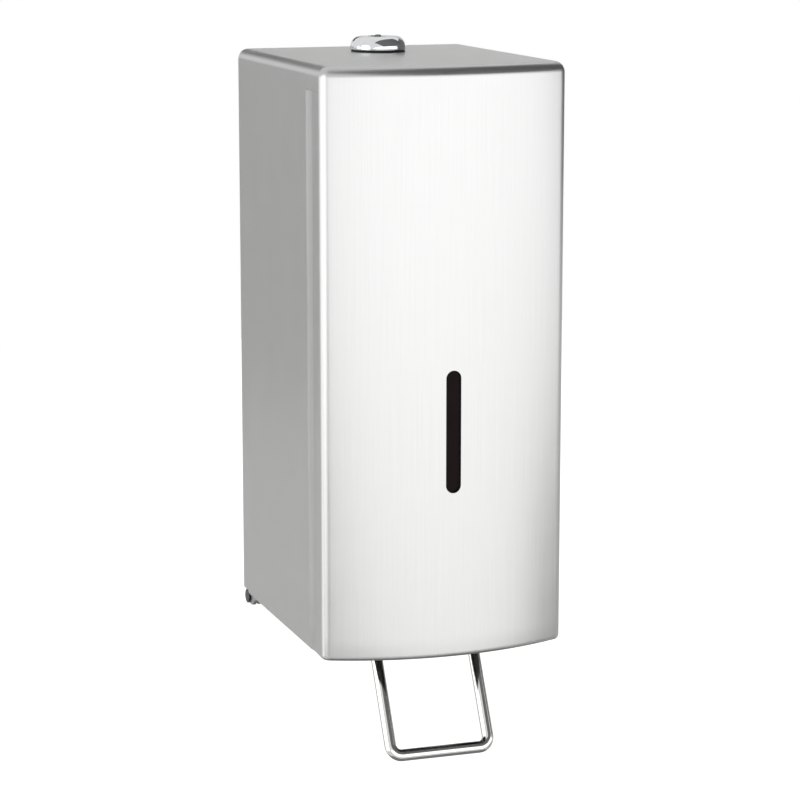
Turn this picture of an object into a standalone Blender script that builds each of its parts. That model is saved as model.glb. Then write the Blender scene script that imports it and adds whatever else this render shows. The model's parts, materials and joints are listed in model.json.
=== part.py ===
"""Wall soap dispenser: a hinged steel cover, a soap tank and a pump that a wire bail works.

Metres, +Z up.  X runs along the wall, the wall is the plane Y = 0 and the front faces -Y.
The origin is on the wall face of the back plate, half way up the cover.  The lock is at
its key-open position, so the cover is free to swing.
"""
import math

import bmesh
import bpy
from mathutils import Matrix, Vector

MM = 0.001

# General clearances
FIT = 0.3 * MM
CUT_OVERRUN = 4.0 * MM
MERGE = 0.001 * MM

# Facets
ROUND_STEPS = 24
SMALL_STEPS = 12
ARC_STEPS = 4
FRONT_STEPS = 16
HEXAGON = 6
SHARP_ANGLE = math.radians(35.0)

# Cover
COVER_WIDTH = 104.0 * MM
COVER_HEIGHT = 240.0 * MM
COVER_SIDE_DEPTH = 118.4 * MM
FRONT_BOW = 11.2 * MM
COVER_SHEET = 1.0 * MM
COVER_CORNER_RADIUS = 5.0 * MM
COVER_TOP_RADIUS = 4.5 * MM
COVER_WALL_GAP = 1.0 * MM
SLOT_WIDTH = 6.4 * MM
SLOT_HEIGHT = 50.3 * MM
SLOT_DROP = 26.5 * MM
SEAM_SETBACK = 21.6 * MM
SEAM_WIDTH = 0.8 * MM
SEAM_DEPTH = 0.3 * MM
SEAM_TOP_DROP = 10.0 * MM

# Back plate
BACK_SHEET = 1.5 * MM
BACK_SIDE_GAP = 3.0 * MM
BACK_TOP_DROP = 6.0 * MM
BACK_BOTTOM_RISE = 8.0 * MM
BACK_CORNER_RADIUS = 6.0 * MM
WALL_HOLE_RADIUS = 2.8 * MM
WALL_HOLE_SIDE = 30.0 * MM
WALL_HOLE_TOP_DROP = 14.0 * MM
WALL_HOLE_RISE = 84.0 * MM

# Cover hinge
HINGE_SETBACK = 4.5 * MM
HINGE_BELOW_COVER = 1.5 * MM
HINGE_PIN_RADIUS = 2.0 * MM
HINGE_HEAD_RADIUS = 3.2 * MM
HINGE_HEAD_LENGTH = 0.7 * MM
HINGE_TAIL_LENGTH = 1.0 * MM
HINGE_LEAF_RADIUS = 3.1 * MM
HINGE_LEAF_DEPTH = 10.5 * MM
HINGE_LEAF_SHEET = 1.5 * MM
EAR_RISE = 20.0 * MM
TAB_RISE = 24.0 * MM
WASHER_RADIUS = 3.8 * MM

# Lock
LOCK_SETBACK = 34.6 * MM
LOCK_RIM_RADIUS = 11.8 * MM
LOCK_DOME_HEIGHT = 4.9 * MM
LOCK_RIM_HEIGHT = 0.9 * MM
LOCK_BODY_RADIUS = 9.2 * MM
LOCK_BODY_LENGTH = 14.5 * MM
LOCK_GASKET_SHEET = 0.8 * MM
LOCK_GASKET_INSET = 1.0 * MM
LOCK_WASHER_SHEET = 1.0 * MM
LOCK_WASHER_RADIUS = 12.0 * MM
LOCK_NUT_RADIUS = 12.8 * MM
LOCK_NUT_LENGTH = 4.0 * MM
PLUG_RADIUS = 3.9 * MM
PLUG_RECESS = 1.6 * MM
PLUG_OVERHANG = 0.7 * MM
PLUG_POST_RADIUS = 1.3 * MM
PLUG_POST_PROUD = 1.0 * MM
CAM_LENGTH = 20.0 * MM
CAM_HALF_WIDTH = 4.0 * MM
CAM_SHEET = 2.0 * MM
CAM_SCREW_RADIUS = 1.5 * MM
CAM_SCREW_DEPTH = 4.0 * MM
CAM_SCREW_HEAD_RADIUS = 3.0 * MM
CAM_SCREW_HEAD_LENGTH = 1.7 * MM

# Strike bracket
STRIKE_SHEET = 1.5 * MM
STRIKE_WIDTH = 12.0 * MM
STRIKE_CENTRE_X = -18.0 * MM
STRIKE_FLANGE_HEIGHT = 15.0 * MM
STRIKE_CAM_DROP = 3.5 * MM
STRIKE_CAM_GAP = 1.4 * MM
STRIKE_LIP_RISE = 10.0 * MM

# Tank
TANK_SIDE_GAP = 5.0 * MM
TANK_BACK_SETBACK = 8.0 * MM
TANK_FRONT_GAP = 8.4 * MM
TANK_HEADROOM = 50.0 * MM
TANK_WALL = 2.0 * MM
TANK_EDGE_RADIUS = 8.0 * MM
TANK_NECK_RADIUS = 13.6 * MM
TANK_NECK_BORE = 10.7 * MM
TANK_NECK_LENGTH = 12.0 * MM
FILLER_SETBACK = 55.0 * MM
FILLER_RADIUS = 22.0 * MM
FILLER_HEIGHT = 6.0 * MM
LID_SHEET = 2.2 * MM
LID_SKIRT_GAP = 1.0 * MM
SEAL_SHEET = 1.0 * MM
HOOK_SHEET = 1.5 * MM
HOOK_WIDTH = 34.0 * MM
HOOK_HEIGHT = 18.0 * MM
HOOK_REACH = 24.0 * MM
HOOK_SCREW_SPACING = 20.0 * MM
HOOK_STRIKE_GAP = 2.0 * MM

# Pump
SHELF_SHEET = 1.5 * MM
GASKET_SHEET = 1.5 * MM
CYLINDER_BORE = 8.0 * MM
CYLINDER_WALL = 2.0 * MM
CYLINDER_HEAD = 2.0 * MM
CYLINDER_FLANGE = 2.0 * MM
INLET_RADIUS = 2.5 * MM
NUT_RADIUS = 17.0 * MM
NUT_FLOOR = 2.5 * MM
VALVE_SHEET = 0.7 * MM
VALVE_RADIUS = 5.0 * MM
VALVE_STEM_RADIUS = 1.5 * MM
VALVE_BULB_RADIUS = 3.2 * MM
VALVE_BULB_LENGTH = 1.5 * MM
PLUNGER_BORE = 1.5 * MM
PLUNGER_STEM_RADIUS = 3.5 * MM
PISTON_TOP_CLEARANCE = 1.5 * MM
PISTON_LENGTH = 7.0 * MM
PISTON_LAND = 1.5 * MM
PISTON_GAP = 0.6 * MM
PISTON_GROOVE_DEPTH = 1.9 * MM
COLLAR_RADIUS = 8.2 * MM
COLLAR_SHEET = 1.8 * MM
COLLAR_CORE_RADIUS = 4.6 * MM
SPOUT_STEM_LENGTH = 11.0 * MM
NOZZLE_RADIUS = 6.5 * MM
NOZZLE_TIP_RADIUS = 3.2 * MM
NOZZLE_COLLAR_GAP = 2.2 * MM
NOZZLE_LENGTH = 18.0 * MM
NOZZLE_TAPER_LENGTH = 5.0 * MM
NOZZLE_BORE = 1.6 * MM
DUCKBILL_FLANGE = 1.4 * MM
DUCKBILL_RADIUS = 2.8 * MM
DUCKBILL_TIP_RADIUS = 1.0 * MM
DUCKBILL_LENGTH = 3.4 * MM
SPRING_WIRE_RADIUS = 0.6 * MM
SPRING_RADIUS = 6.2 * MM
SPRING_SHORT_LENGTH = 9.25 * MM
SPRING_TURNS = 5
SPRING_POINTS_PER_TURN = 10

# Bail and rocker
BAIL_WIRE_RADIUS = 2.5 * MM
BAIL_HALF_WIDTH = 21.5 * MM
BAIL_BEND_RADIUS = 4.5 * MM
BAIL_REACH = 75.7 * MM
BAIL_TILT = math.radians(28.4)
AXLE_FRONT_GAP = 50.0 * MM
AXLE_RISE = 22.0 * MM
AXLE_RADIUS = 2.5 * MM
AXLE_END = 2.0 * MM
AXLE_GROOVE_DEPTH = 0.6 * MM
AXLE_GROOVE_WIDTH = 1.4 * MM
CLIP_RADIUS = 4.6 * MM
CLIP_SHEET = 0.8 * MM
CLIP_HALF_GAP = math.radians(40.0)
BARREL_RADIUS = 6.0 * MM
SOCKET_RADIUS = 4.6 * MM
SOCKET_LENGTH = 20.0 * MM
FORK_SPAN = 19.6 * MM
FORK_RISE = math.radians(15.0)
FORK_HALF_HEIGHT = 4.0 * MM
FORK_SHEET = 4.0 * MM
FORK_COLLAR_GAP = 0.7 * MM
FORK_PIN_RADIUS = 2.5 * MM
GRUB_RADIUS = 1.5 * MM
GRUB_PROUD = 0.2 * MM
GRUB_FROM_AXLE = 13.5 * MM
BUSH_SLEEVE_WALL = 0.9 * MM
BUSH_FLANGE_RADIUS = 5.4 * MM
BUSH_FLANGE_SHEET = 0.9 * MM

# Pump bracket
CHEEK_SHEET = 1.5 * MM
CHEEK_FRONT_MARGIN = 10.4 * MM
CHEEK_BELOW_AXLE = 8.0 * MM
CHEEK_CORNER_RADIUS = 6.0 * MM
CHEEK_REAR_DEPTH = 24.0 * MM
FLANGE_WIDTH = 12.0 * MM

# Screws and rivets
SCREW_RADIUS = 2.0 * MM
SCREW_HEAD_RADIUS = 3.6 * MM
SCREW_HEAD_LENGTH = 2.0 * MM
SCREW_EDGE = 6.0 * MM
RIVET_RADIUS = 1.4 * MM
RIVET_HEAD_RADIUS = 2.4 * MM
RIVET_HEAD_LENGTH = 1.0 * MM
RIVET_SPACING = 6.0 * MM

# Sight window
WINDOW_SHEET = 1.5 * MM
WINDOW_MARGIN = 4.0 * MM
WINDOW_END_MARGIN = 5.0 * MM
RETAINER_SHEET = 1.0 * MM
RETAINER_MARGIN = 3.5 * MM
RETAINER_END = 7.0 * MM
RETAINER_SLOT_MARGIN = 1.0 * MM
STUD_RADIUS = 1.2 * MM
STUD_NUT_RADIUS = 2.6 * MM
STUD_NUT_LENGTH = 1.8 * MM

SIDES = (("left", -1), ("right", 1))

# Shares: how far the top rounding may go into the corner rounding, and the flat ends of heads
TOP_RADIUS_SHARE = 0.9
HEAD_FLAT_SHARE = 0.7
VALVE_TIP_SHARE = 0.6

# Sizes that follow
HALF_WIDTH = COVER_WIDTH / 2
COVER_TOP_Z = COVER_HEIGHT / 2
COVER_BOTTOM_Z = -COVER_HEIGHT / 2
FRONT_RADIUS = (HALF_WIDTH ** 2 + FRONT_BOW ** 2) / (2 * FRONT_BOW)
FRONT_CENTRE_Y = FRONT_RADIUS - COVER_SIDE_DEPTH - FRONT_BOW
HINGE_Y = -HINGE_SETBACK
HINGE_Z = COVER_BOTTOM_Z - HINGE_BELOW_COVER
TAB_OUTER_X = HALF_WIDTH - COVER_SHEET - FIT
TAB_INNER_X = TAB_OUTER_X - HINGE_LEAF_SHEET
BACK_HALF_WIDTH = HALF_WIDTH - COVER_SHEET - BACK_SIDE_GAP
EAR_OUTER_X = BACK_HALF_WIDTH
EAR_INNER_X = EAR_OUTER_X - HINGE_LEAF_SHEET
HINGE_HOLE_RADIUS = HINGE_PIN_RADIUS + FIT
FIXED_FACE_Y = -BACK_SHEET - FIT
AXLE_SETBACK = COVER_SIDE_DEPTH + FRONT_BOW - AXLE_FRONT_GAP
AXLE_Y = -AXLE_SETBACK
AXLE_Z = COVER_BOTTOM_Z + AXLE_RISE
CHEEK_HALF_GAP = BAIL_HALF_WIDTH + SOCKET_RADIUS + BUSH_FLANGE_SHEET + 3 * FIT
PUMP_Y = AXLE_Y + FORK_SPAN
FORK_REACH = FORK_SPAN / math.cos(FORK_RISE)
PLUNGER_STROKE = 2 * FORK_REACH * math.sin(FORK_RISE)
GROOVE_Z = AXLE_Z - PLUNGER_STROKE / 2
GROOVE_HALF_HEIGHT = FORK_PIN_RADIUS + FIT
COLLAR_TOP_Z = GROOVE_Z + GROOVE_HALF_HEIGHT + COLLAR_SHEET
COLLAR_BOTTOM_Z = GROOVE_Z - GROOVE_HALF_HEIGHT - COLLAR_SHEET
NUT_BOTTOM_Z = COLLAR_TOP_Z + PLUNGER_STROKE + SPRING_SHORT_LENGTH
NUT_FLOOR_TOP_Z = NUT_BOTTOM_Z + NUT_FLOOR
FLANGE_BOTTOM_Z = NUT_FLOOR_TOP_Z + FIT
FLANGE_TOP_Z = FLANGE_BOTTOM_Z + CYLINDER_FLANGE
GASKET_Z = FLANGE_TOP_Z + FIT + GASKET_SHEET
NECK_END_Z = GASKET_Z + FIT
TANK_BOTTOM_Z = NECK_END_Z + TANK_NECK_LENGTH
TANK_HEIGHT = COVER_TOP_Z - TANK_HEADROOM - TANK_BOTTOM_Z
TANK_WIDTH = COVER_WIDTH - 2 * (COVER_SHEET + TANK_SIDE_GAP)
TANK_DEPTH = COVER_SIDE_DEPTH - TANK_FRONT_GAP - TANK_BACK_SETBACK
SHELF_TOP_Z = TANK_BOTTOM_Z - FIT
SHELF_BOTTOM_Z = SHELF_TOP_Z - SHELF_SHEET
PISTON_BOTTOM_Z = NUT_FLOOR_TOP_Z + 2 * FIT + PISTON_LAND
PISTON_TOP_Z = PISTON_BOTTOM_Z + PISTON_LENGTH
CYLINDER_HEAD_Z = PISTON_TOP_Z + PLUNGER_STROKE + PISTON_TOP_CLEARANCE
LOCK_Y = -LOCK_SETBACK
DOME_BASE_Z = COVER_TOP_Z + LOCK_GASKET_SHEET + 2 * FIT
DOME_TOP_Z = DOME_BASE_Z + LOCK_DOME_HEIGHT
LOCK_BODY_END_Z = COVER_TOP_Z - COVER_SHEET - LOCK_BODY_LENGTH
CAM_TOP_Z = LOCK_BODY_END_Z - PLUG_OVERHANG - FIT
CAM_BOTTOM_Z = CAM_TOP_Z - CAM_SHEET
WINDOW_FACE_RADIUS = FRONT_RADIUS - COVER_SHEET - FIT
RETAINER_FACE_RADIUS = WINDOW_FACE_RADIUS - WINDOW_SHEET - FIT
SLOT_Z = -SLOT_DROP
WINDOW_HALF_HEIGHT = SLOT_HEIGHT / 2 + WINDOW_END_MARGIN
RETAINER_HALF_HEIGHT = WINDOW_HALF_HEIGHT + RETAINER_END

# Colour, roughness and metallic value of each finish
FINISHES = {
    "satin steel": ((0.60, 0.60, 0.58), 0.38, 1.0),
    "plain steel": ((0.52, 0.53, 0.53), 0.45, 1.0),
    "zinc plate": ((0.58, 0.60, 0.62), 0.35, 1.0),
    "chrome": ((0.80, 0.81, 0.82), 0.08, 1.0),
    "polished wire": ((0.70, 0.70, 0.69), 0.12, 1.0),
    "black rubber": ((0.02, 0.02, 0.02), 0.70, 0.0),
    "silicone": ((0.75, 0.76, 0.74), 0.55, 0.0),
    "natural polyethylene": ((0.80, 0.82, 0.80), 0.40, 0.0),
    "white acetal": ((0.82, 0.82, 0.80), 0.35, 0.0),
    "black acetal": ((0.03, 0.03, 0.03), 0.40, 0.0),
    "smoked acrylic": ((0.03, 0.015, 0.015), 0.10, 0.0),
}


# Scene, materials and placing

def clear_scene():
    for item in list(bpy.data.objects):
        bpy.data.objects.remove(item)


def new_collection(name):
    collection = bpy.data.collections.new(name)
    bpy.context.scene.collection.children.link(collection)
    return collection


def paint(item, finish):
    """Gives the piece its own material."""
    colour, roughness, metallic = FINISHES[finish]
    surface = bpy.data.materials.new(item.name)
    surface.use_nodes = True
    shader = surface.node_tree.nodes["Principled BSDF"]
    shader.inputs["Base Color"].default_value = (*colour, 1.0)
    shader.inputs["Roughness"].default_value = roughness
    shader.inputs["Metallic"].default_value = metallic
    item.data.materials.clear()
    item.data.materials.append(surface)
    return item


def pivot(name, place):
    """An empty on a joint axis, which carries the pieces that move with it."""
    empty = bpy.data.objects.new(name, None)
    empty.location = place
    PARTS.objects.link(empty)
    return empty


def carry(empty, pieces):
    for item in pieces:
        item.parent = empty
        item.matrix_parent_inverse = Matrix.Translation(empty.location).inverted()


def shade(mesh):
    mesh.shade_smooth()
    mesh.set_sharp_from_angle(angle=SHARP_ANGLE)


# Outlines in the plane

def arc(centre, radius, start, end, steps):
    """Points along an arc, both ends included, angles in radians."""
    points = []
    for step in range(steps + 1):
        angle = start + (end - start) * step / steps
        points.append((centre[0] + radius * math.cos(angle), centre[1] + radius * math.sin(angle)))
    return points


def circle(centre, radius, steps=SMALL_STEPS):
    return arc(centre, radius, 0.0, 2 * math.pi, steps)[:-1]


def stadium(centre, half_width, half_height, steps=ARC_STEPS * 2):
    """An upright slot with round ends."""
    straight = half_height - half_width
    top = arc((centre[0], centre[1] + straight), half_width, 0.0, math.pi, steps)
    bottom = arc((centre[0], centre[1] - straight), half_width, math.pi, 2 * math.pi, steps)
    return top + bottom


def rounded(corners, radius, sharp=0, steps=ARC_STEPS):
    """The polygon of the corners, anticlockwise, all but the last few rounded to the radius."""
    points = []
    count = len(corners)
    for index, corner in enumerate(corners):
        if index >= count - sharp:
            points.append(corner)
            continue
        here = Vector(corner)
        back = (Vector(corners[index - 1]) - here).normalized()
        ahead = (Vector(corners[(index + 1) % count]) - here).normalized()
        half = back.angle(ahead) / 2
        centre = here + (back + ahead).normalized() * (radius / math.sin(half))
        first = here + back * (radius / math.tan(half)) - centre
        last = here + ahead * (radius / math.tan(half)) - centre
        turn = first.angle_signed(last)
        start = math.atan2(first.y, first.x)
        points += arc(centre, radius, start, start - turn, steps)
    return points


def folded(path, sheet):
    """The outline of a sheet bent along a path, with its thickness on the left of the path."""
    spots = [Vector(point) for point in path]
    offset = []
    for index, spot in enumerate(spots):
        before = (spot - spots[index - 1]).normalized() if index else None
        after = (spots[index + 1] - spot).normalized() if index + 1 < len(spots) else None
        before = before or after
        after = after or before
        normals = [Vector((-run.y, run.x)) for run in (before, after)]
        middle = (normals[0] + normals[1]).normalized()
        offset.append(spot + middle * (sheet / middle.dot(normals[0])))
    return [tuple(spot) for spot in spots] + [tuple(spot) for spot in reversed(offset)]


# Frames that turn the drawing plane

def upright(y):
    """Drawing X stays X, drawing Y becomes Z, and the thickness lies along Y, about y."""
    return Matrix.Translation((0.0, y, 0.0)) @ Matrix.Rotation(math.pi / 2, 4, "X")


def sideways(x):
    """Drawing X becomes Y, drawing Y becomes Z, and the thickness lies along X, about x."""
    turn = Matrix(((0, 0, 1, 0), (1, 0, 0, 0), (0, 1, 0, 0), (0, 0, 0, 1)))
    return Matrix.Translation((x, 0.0, 0.0)) @ turn


def level(z, x=0.0, y=0.0):
    return Matrix.Translation((x, y, z))


def turned_to(place, direction):
    """A frame at a place whose Z runs along the direction."""
    return Matrix.Translation(place) @ Vector(direction).to_track_quat("Z", "Y").to_matrix().to_4x4()


# Solids

def plate(name, outlines, thickness, frame):
    """A flat plate with holes: the first outline is its edge and the rest are holes."""
    drawing = bpy.data.curves.new(name, "CURVE")
    drawing.dimensions = "2D"
    drawing.fill_mode = "BOTH"
    drawing.extrude = thickness / 2
    for outline in outlines:
        spline = drawing.splines.new("POLY")
        spline.points.add(len(outline) - 1)
        for point, (x, y) in zip(spline.points, outline):
            point.co = (x, y, 0.0, 1.0)
        spline.use_cyclic_u = True
    item = bpy.data.objects.new(name, drawing)
    item.matrix_world = frame
    PARTS.objects.link(item)
    return as_mesh(item)


def as_mesh(item):
    """Replaces a curve object by its mesh, with its caps welded on."""
    name = item.name
    bpy.context.view_layer.update()
    graph = bpy.context.evaluated_depsgraph_get()
    mesh = bpy.data.meshes.new_from_object(item.evaluated_get(graph))
    shape = bmesh.new()
    shape.from_mesh(mesh)
    bmesh.ops.remove_doubles(shape, verts=shape.verts, dist=MERGE)
    shape.to_mesh(mesh)
    shape.free()
    solid = bpy.data.objects.new(name + "_mesh", mesh)
    solid.matrix_world = item.matrix_world
    bpy.data.objects.remove(item)
    solid.name = name
    PARTS.objects.link(solid)
    return solid


def turned(name, profile, frame, steps=ROUND_STEPS):
    """A turned piece: the profile's (radius, height) points run down its outer side."""
    mesh = bpy.data.meshes.new(name)
    edges = [(index, index + 1) for index in range(len(profile) - 1)]
    if profile[0][0] > 0.0:
        edges.append((len(profile) - 1, 0))
    mesh.from_pydata([(radius, 0.0, height) for radius, height in profile], edges, [])
    item = bpy.data.objects.new(name, mesh)
    item.matrix_world = frame
    PARTS.objects.link(item)
    screw = item.modifiers.new("Turn", "SCREW")
    screw.steps = steps
    screw.render_steps = steps
    screw.use_merge_vertices = True
    screw.merge_threshold = MERGE
    return item


def rod_profile(radius, top, bottom):
    return [(0.0, top), (radius, top), (radius, bottom), (0.0, bottom)]


def ring_profile(outer, inner, top, bottom):
    return [(outer, top), (outer, bottom), (inner, bottom), (inner, top)]


def tube(name, points, radius, sides):
    """A wire along the points, with filled ends."""
    wire = bpy.data.curves.new(name, "CURVE")
    wire.dimensions = "3D"
    wire.bevel_depth = radius
    wire.bevel_resolution = sides
    wire.use_fill_caps = True
    spline = wire.splines.new("POLY")
    spline.points.add(len(points) - 1)
    for point, spot in zip(spline.points, points):
        point.co = (*spot, 1.0)
    item = bpy.data.objects.new(name, wire)
    PARTS.objects.link(item)
    return as_mesh(item)


def block(name, low, high, radius=0.0):
    """A box between two corners, with its edges rounded."""
    shape = bmesh.new()
    bmesh.ops.create_cube(shape, size=1.0)
    low = Vector(low)
    high = Vector(high)
    bmesh.ops.scale(shape, vec=high - low, verts=shape.verts)
    bmesh.ops.translate(shape, vec=(low + high) / 2, verts=shape.verts)
    if radius:
        bmesh.ops.bevel(shape, geom=shape.edges[:], offset=radius, offset_type="OFFSET", segments=3,
                        profile=0.5, affect="EDGES")
    mesh = bpy.data.meshes.new(name)
    shape.to_mesh(mesh)
    shape.free()
    item = bpy.data.objects.new(name, mesh)
    PARTS.objects.link(item)
    return item


def combine(item, tool, operation, solver):
    """Boolean with a tool, which goes to the cutters' collection."""
    PARTS.objects.unlink(tool)
    CUTTERS.objects.link(tool)
    tool.hide_render = True
    tool.display_type = "WIRE"
    boolean = item.modifiers.new(tool.name, "BOOLEAN")
    boolean.operation = operation
    boolean.solver = solver
    boolean.object = tool
    return item


def cut(item, tool, solver="EXACT"):
    return combine(item, tool, "DIFFERENCE", solver)


def join(item, tool, solver="EXACT"):
    return combine(item, tool, "UNION", solver)


# Cover

def cover_outline():
    """The cover's outside in plan, open at the back, from the left rear to the right rear."""
    radius = COVER_CORNER_RADIUS
    side = HALF_WIDTH - radius
    fillet_y = FRONT_CENTRE_Y - math.sqrt((FRONT_RADIUS - radius) ** 2 - side ** 2)
    lean = math.atan2(side, FRONT_CENTRE_Y - fillet_y)
    down = 1.5 * math.pi
    left = arc((-side, fillet_y), radius, math.pi, down - lean, ARC_STEPS)
    front = arc((0.0, FRONT_CENTRE_Y), FRONT_RADIUS, down - lean, down + lean, FRONT_STEPS)
    right = arc((side, fillet_y), radius, down + lean, 2 * math.pi, ARC_STEPS)
    rear_left = (-HALF_WIDTH, -COVER_WALL_GAP)
    rear_right = (HALF_WIDTH, -COVER_WALL_GAP)
    return [rear_left] + left + front[1:-1] + right + [rear_right]


def make_cover_shell():
    """Folded sheet: a prism whose top edges are rounded, without its back and bottom."""
    shape = bmesh.new()
    floor = shape.faces.new([shape.verts.new((x, y, COVER_BOTTOM_Z)) for x, y in cover_outline()])
    raised = bmesh.ops.extrude_face_region(shape, geom=[floor])["geom"]
    top = [item for item in raised if isinstance(item, bmesh.types.BMVert)]
    bmesh.ops.translate(shape, vec=(0.0, 0.0, COVER_HEIGHT), verts=top)
    bmesh.ops.recalc_face_normals(shape, faces=shape.faces)

    def at_back(vert):
        return vert.co.y > -COVER_WALL_GAP - MERGE

    rim = []
    for edge in shape.edges:
        ends = edge.verts
        on_top = all(vert.co.z > 0.0 for vert in ends)
        if on_top and not all(at_back(vert) for vert in ends):
            rim.append(edge)
    top_radius = min(COVER_TOP_RADIUS, TOP_RADIUS_SHARE * COVER_CORNER_RADIUS)
    bmesh.ops.bevel(shape, geom=rim, offset=top_radius, offset_type="OFFSET", segments=ARC_STEPS,
                    profile=0.5, affect="EDGES")
    spare = []
    for face in shape.faces:
        behind = all(at_back(vert) for vert in face.verts)
        under = all(vert.co.z < COVER_BOTTOM_Z + MERGE for vert in face.verts)
        if behind or under:
            spare.append(face)
    bmesh.ops.delete(shape, geom=spare, context="FACES")
    mesh = bpy.data.meshes.new("cover_shell")
    shape.to_mesh(mesh)
    shape.free()
    item = bpy.data.objects.new("cover_shell", mesh)
    PARTS.objects.link(item)
    wall = item.modifiers.new("Sheet", "SOLIDIFY")
    wall.thickness = COVER_SHEET
    wall.offset = -1.0
    wall.use_even_offset = True

    slot = stadium((0.0, SLOT_Z), SLOT_WIDTH / 2, SLOT_HEIGHT / 2)
    cut(item, plate("slot_cutter", [slot], 2 * CUT_OVERRUN, upright(-COVER_SIDE_DEPTH - FRONT_BOW)))
    lock_hole = rod_profile(LOCK_BODY_RADIUS + FIT, COVER_TOP_Z + CUT_OVERRUN, COVER_TOP_Z - CUT_OVERRUN)
    cut(item, turned("lock_hole_cutter", lock_hole, level(0.0, y=LOCK_Y)))
    notch_depth = HINGE_SETBACK + HINGE_HEAD_RADIUS + FIT
    notch_top = HINGE_Z + HINGE_HEAD_RADIUS + FIT
    cut(item, block("hinge_notch_cutter", (-HALF_WIDTH - CUT_OVERRUN, -notch_depth, HINGE_Z - CUT_OVERRUN),
                    (HALF_WIDTH + CUT_OVERRUN, CUT_OVERRUN, notch_top)))
    seam_y = SEAM_SETBACK - COVER_SIDE_DEPTH
    for side, sign in SIDES:
        near = sign * (HALF_WIDTH - SEAM_DEPTH)
        far = sign * (HALF_WIDTH + CUT_OVERRUN)
        low = (min(near, far), seam_y - SEAM_WIDTH / 2, COVER_BOTTOM_Z - CUT_OVERRUN)
        high = (max(near, far), seam_y + SEAM_WIDTH / 2, COVER_TOP_Z - SEAM_TOP_DROP)
        cut(item, block("seam_cutter_" + side, low, high))
    return paint(item, "satin steel")


def leaf_outline(rise, rear):
    """A hinge leaf seen from the side: an upright tongue that ends round the pin."""
    front = -HINGE_SETBACK + HINGE_LEAF_RADIUS - HINGE_LEAF_DEPTH
    low = HINGE_Z - HINGE_LEAF_RADIUS
    corners = [(front, low), (rear, low), (rear, low + rise), (front, low + rise)]
    return rounded(corners, HINGE_LEAF_RADIUS)


def make_cover_hinge(name, sign):
    """The tab that is welded inside the cover's side and turns on the pin."""
    outline = leaf_outline(TAB_RISE, HINGE_Y + HINGE_LEAF_RADIUS)
    hole = circle((HINGE_Y, HINGE_Z), HINGE_HOLE_RADIUS)
    centre = sign * (TAB_INNER_X + TAB_OUTER_X) / 2
    return paint(plate(name, [outline, hole], HINGE_LEAF_SHEET, sideways(centre)), "plain steel")


def band(radius, thickness, half_width):
    """The plan outline of a curved strip that follows the inside of the front."""
    reach = math.asin(half_width / radius)
    down = 1.5 * math.pi
    centre = (0.0, FRONT_CENTRE_Y)
    outer = arc(centre, radius, down - reach, down + reach, ARC_STEPS)
    inner = arc(centre, radius - thickness, down + reach, down - reach, ARC_STEPS)
    return outer + inner


def make_window():
    outline = band(WINDOW_FACE_RADIUS, WINDOW_SHEET, SLOT_WIDTH / 2 + WINDOW_MARGIN)
    return paint(plate("sight_window", [outline], 2 * WINDOW_HALF_HEIGHT, level(SLOT_Z)), "smoked acrylic")


def stud_places():
    reach = (WINDOW_HALF_HEIGHT + RETAINER_HALF_HEIGHT) / 2
    return [SLOT_Z + reach, SLOT_Z - reach]


def make_retainer():
    """The strap that holds the window against the front, open behind the slot."""
    outline = band(RETAINER_FACE_RADIUS, RETAINER_SHEET, SLOT_WIDTH / 2 + WINDOW_MARGIN + RETAINER_MARGIN)
    item = plate("window_retainer", [outline], 2 * RETAINER_HALF_HEIGHT, level(SLOT_Z))
    margin = RETAINER_SLOT_MARGIN
    slot = stadium((0.0, SLOT_Z), SLOT_WIDTH / 2 + margin, SLOT_HEIGHT / 2 + margin)
    face_y = FRONT_CENTRE_Y - RETAINER_FACE_RADIUS
    cut(item, plate("retainer_slot_cutter", [slot], 2 * CUT_OVERRUN, upright(face_y)))
    for index, height in enumerate(stud_places()):
        hole = circle((0.0, height), STUD_RADIUS + FIT)
        cut(item, plate("stud_hole_cutter_%d" % index, [hole], 2 * CUT_OVERRUN, upright(face_y)))
    return paint(item, "plain steel")


def make_window_studs():
    """Weld studs with nuts that hold the retainer."""
    start_y = FRONT_CENTRE_Y - FRONT_RADIUS + COVER_SHEET + FIT
    nut_near = RETAINER_SHEET + 3 * FIT + WINDOW_SHEET
    nut_far = nut_near + STUD_NUT_LENGTH
    profile = [
        (0.0, nut_far), (STUD_NUT_RADIUS, nut_far), (STUD_NUT_RADIUS, nut_near),
        (STUD_RADIUS, nut_near), (STUD_RADIUS, 0.0), (0.0, 0.0),
    ]
    studs = []
    for index, height in enumerate(stud_places()):
        frame = turned_to((0.0, start_y, height), (0.0, 1.0, 0.0))
        stud = turned("window_stud_%d" % (index + 1), profile, frame, SMALL_STEPS)
        studs.append(paint(stud, "zinc plate"))
    return studs


# Lock

def make_lock_housing():
    """Domed head above the top, threaded body through it, and a bore for the plug."""
    bore = PLUG_RADIUS + FIT
    rim_z = DOME_BASE_Z + LOCK_RIM_HEIGHT
    dome = []
    for step in range(2 * ARC_STEPS + 1):
        angle = math.pi / 2 * step / (2 * ARC_STEPS)
        radius = LOCK_RIM_RADIUS * math.sin(angle)
        height = rim_z + (DOME_TOP_Z - rim_z) * math.cos(angle)
        if radius > bore:
            dome.append((radius, height))
    lip = math.sqrt(1 - (bore / LOCK_RIM_RADIUS) ** 2)
    profile = [(bore, rim_z + (DOME_TOP_Z - rim_z) * lip)] + dome + [
        (LOCK_RIM_RADIUS, DOME_BASE_Z), (LOCK_BODY_RADIUS, DOME_BASE_Z),
        (LOCK_BODY_RADIUS, LOCK_BODY_END_Z), (bore, LOCK_BODY_END_Z),
    ]
    return paint(turned("lock_housing", profile, level(0.0, y=LOCK_Y)), "chrome")


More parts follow.
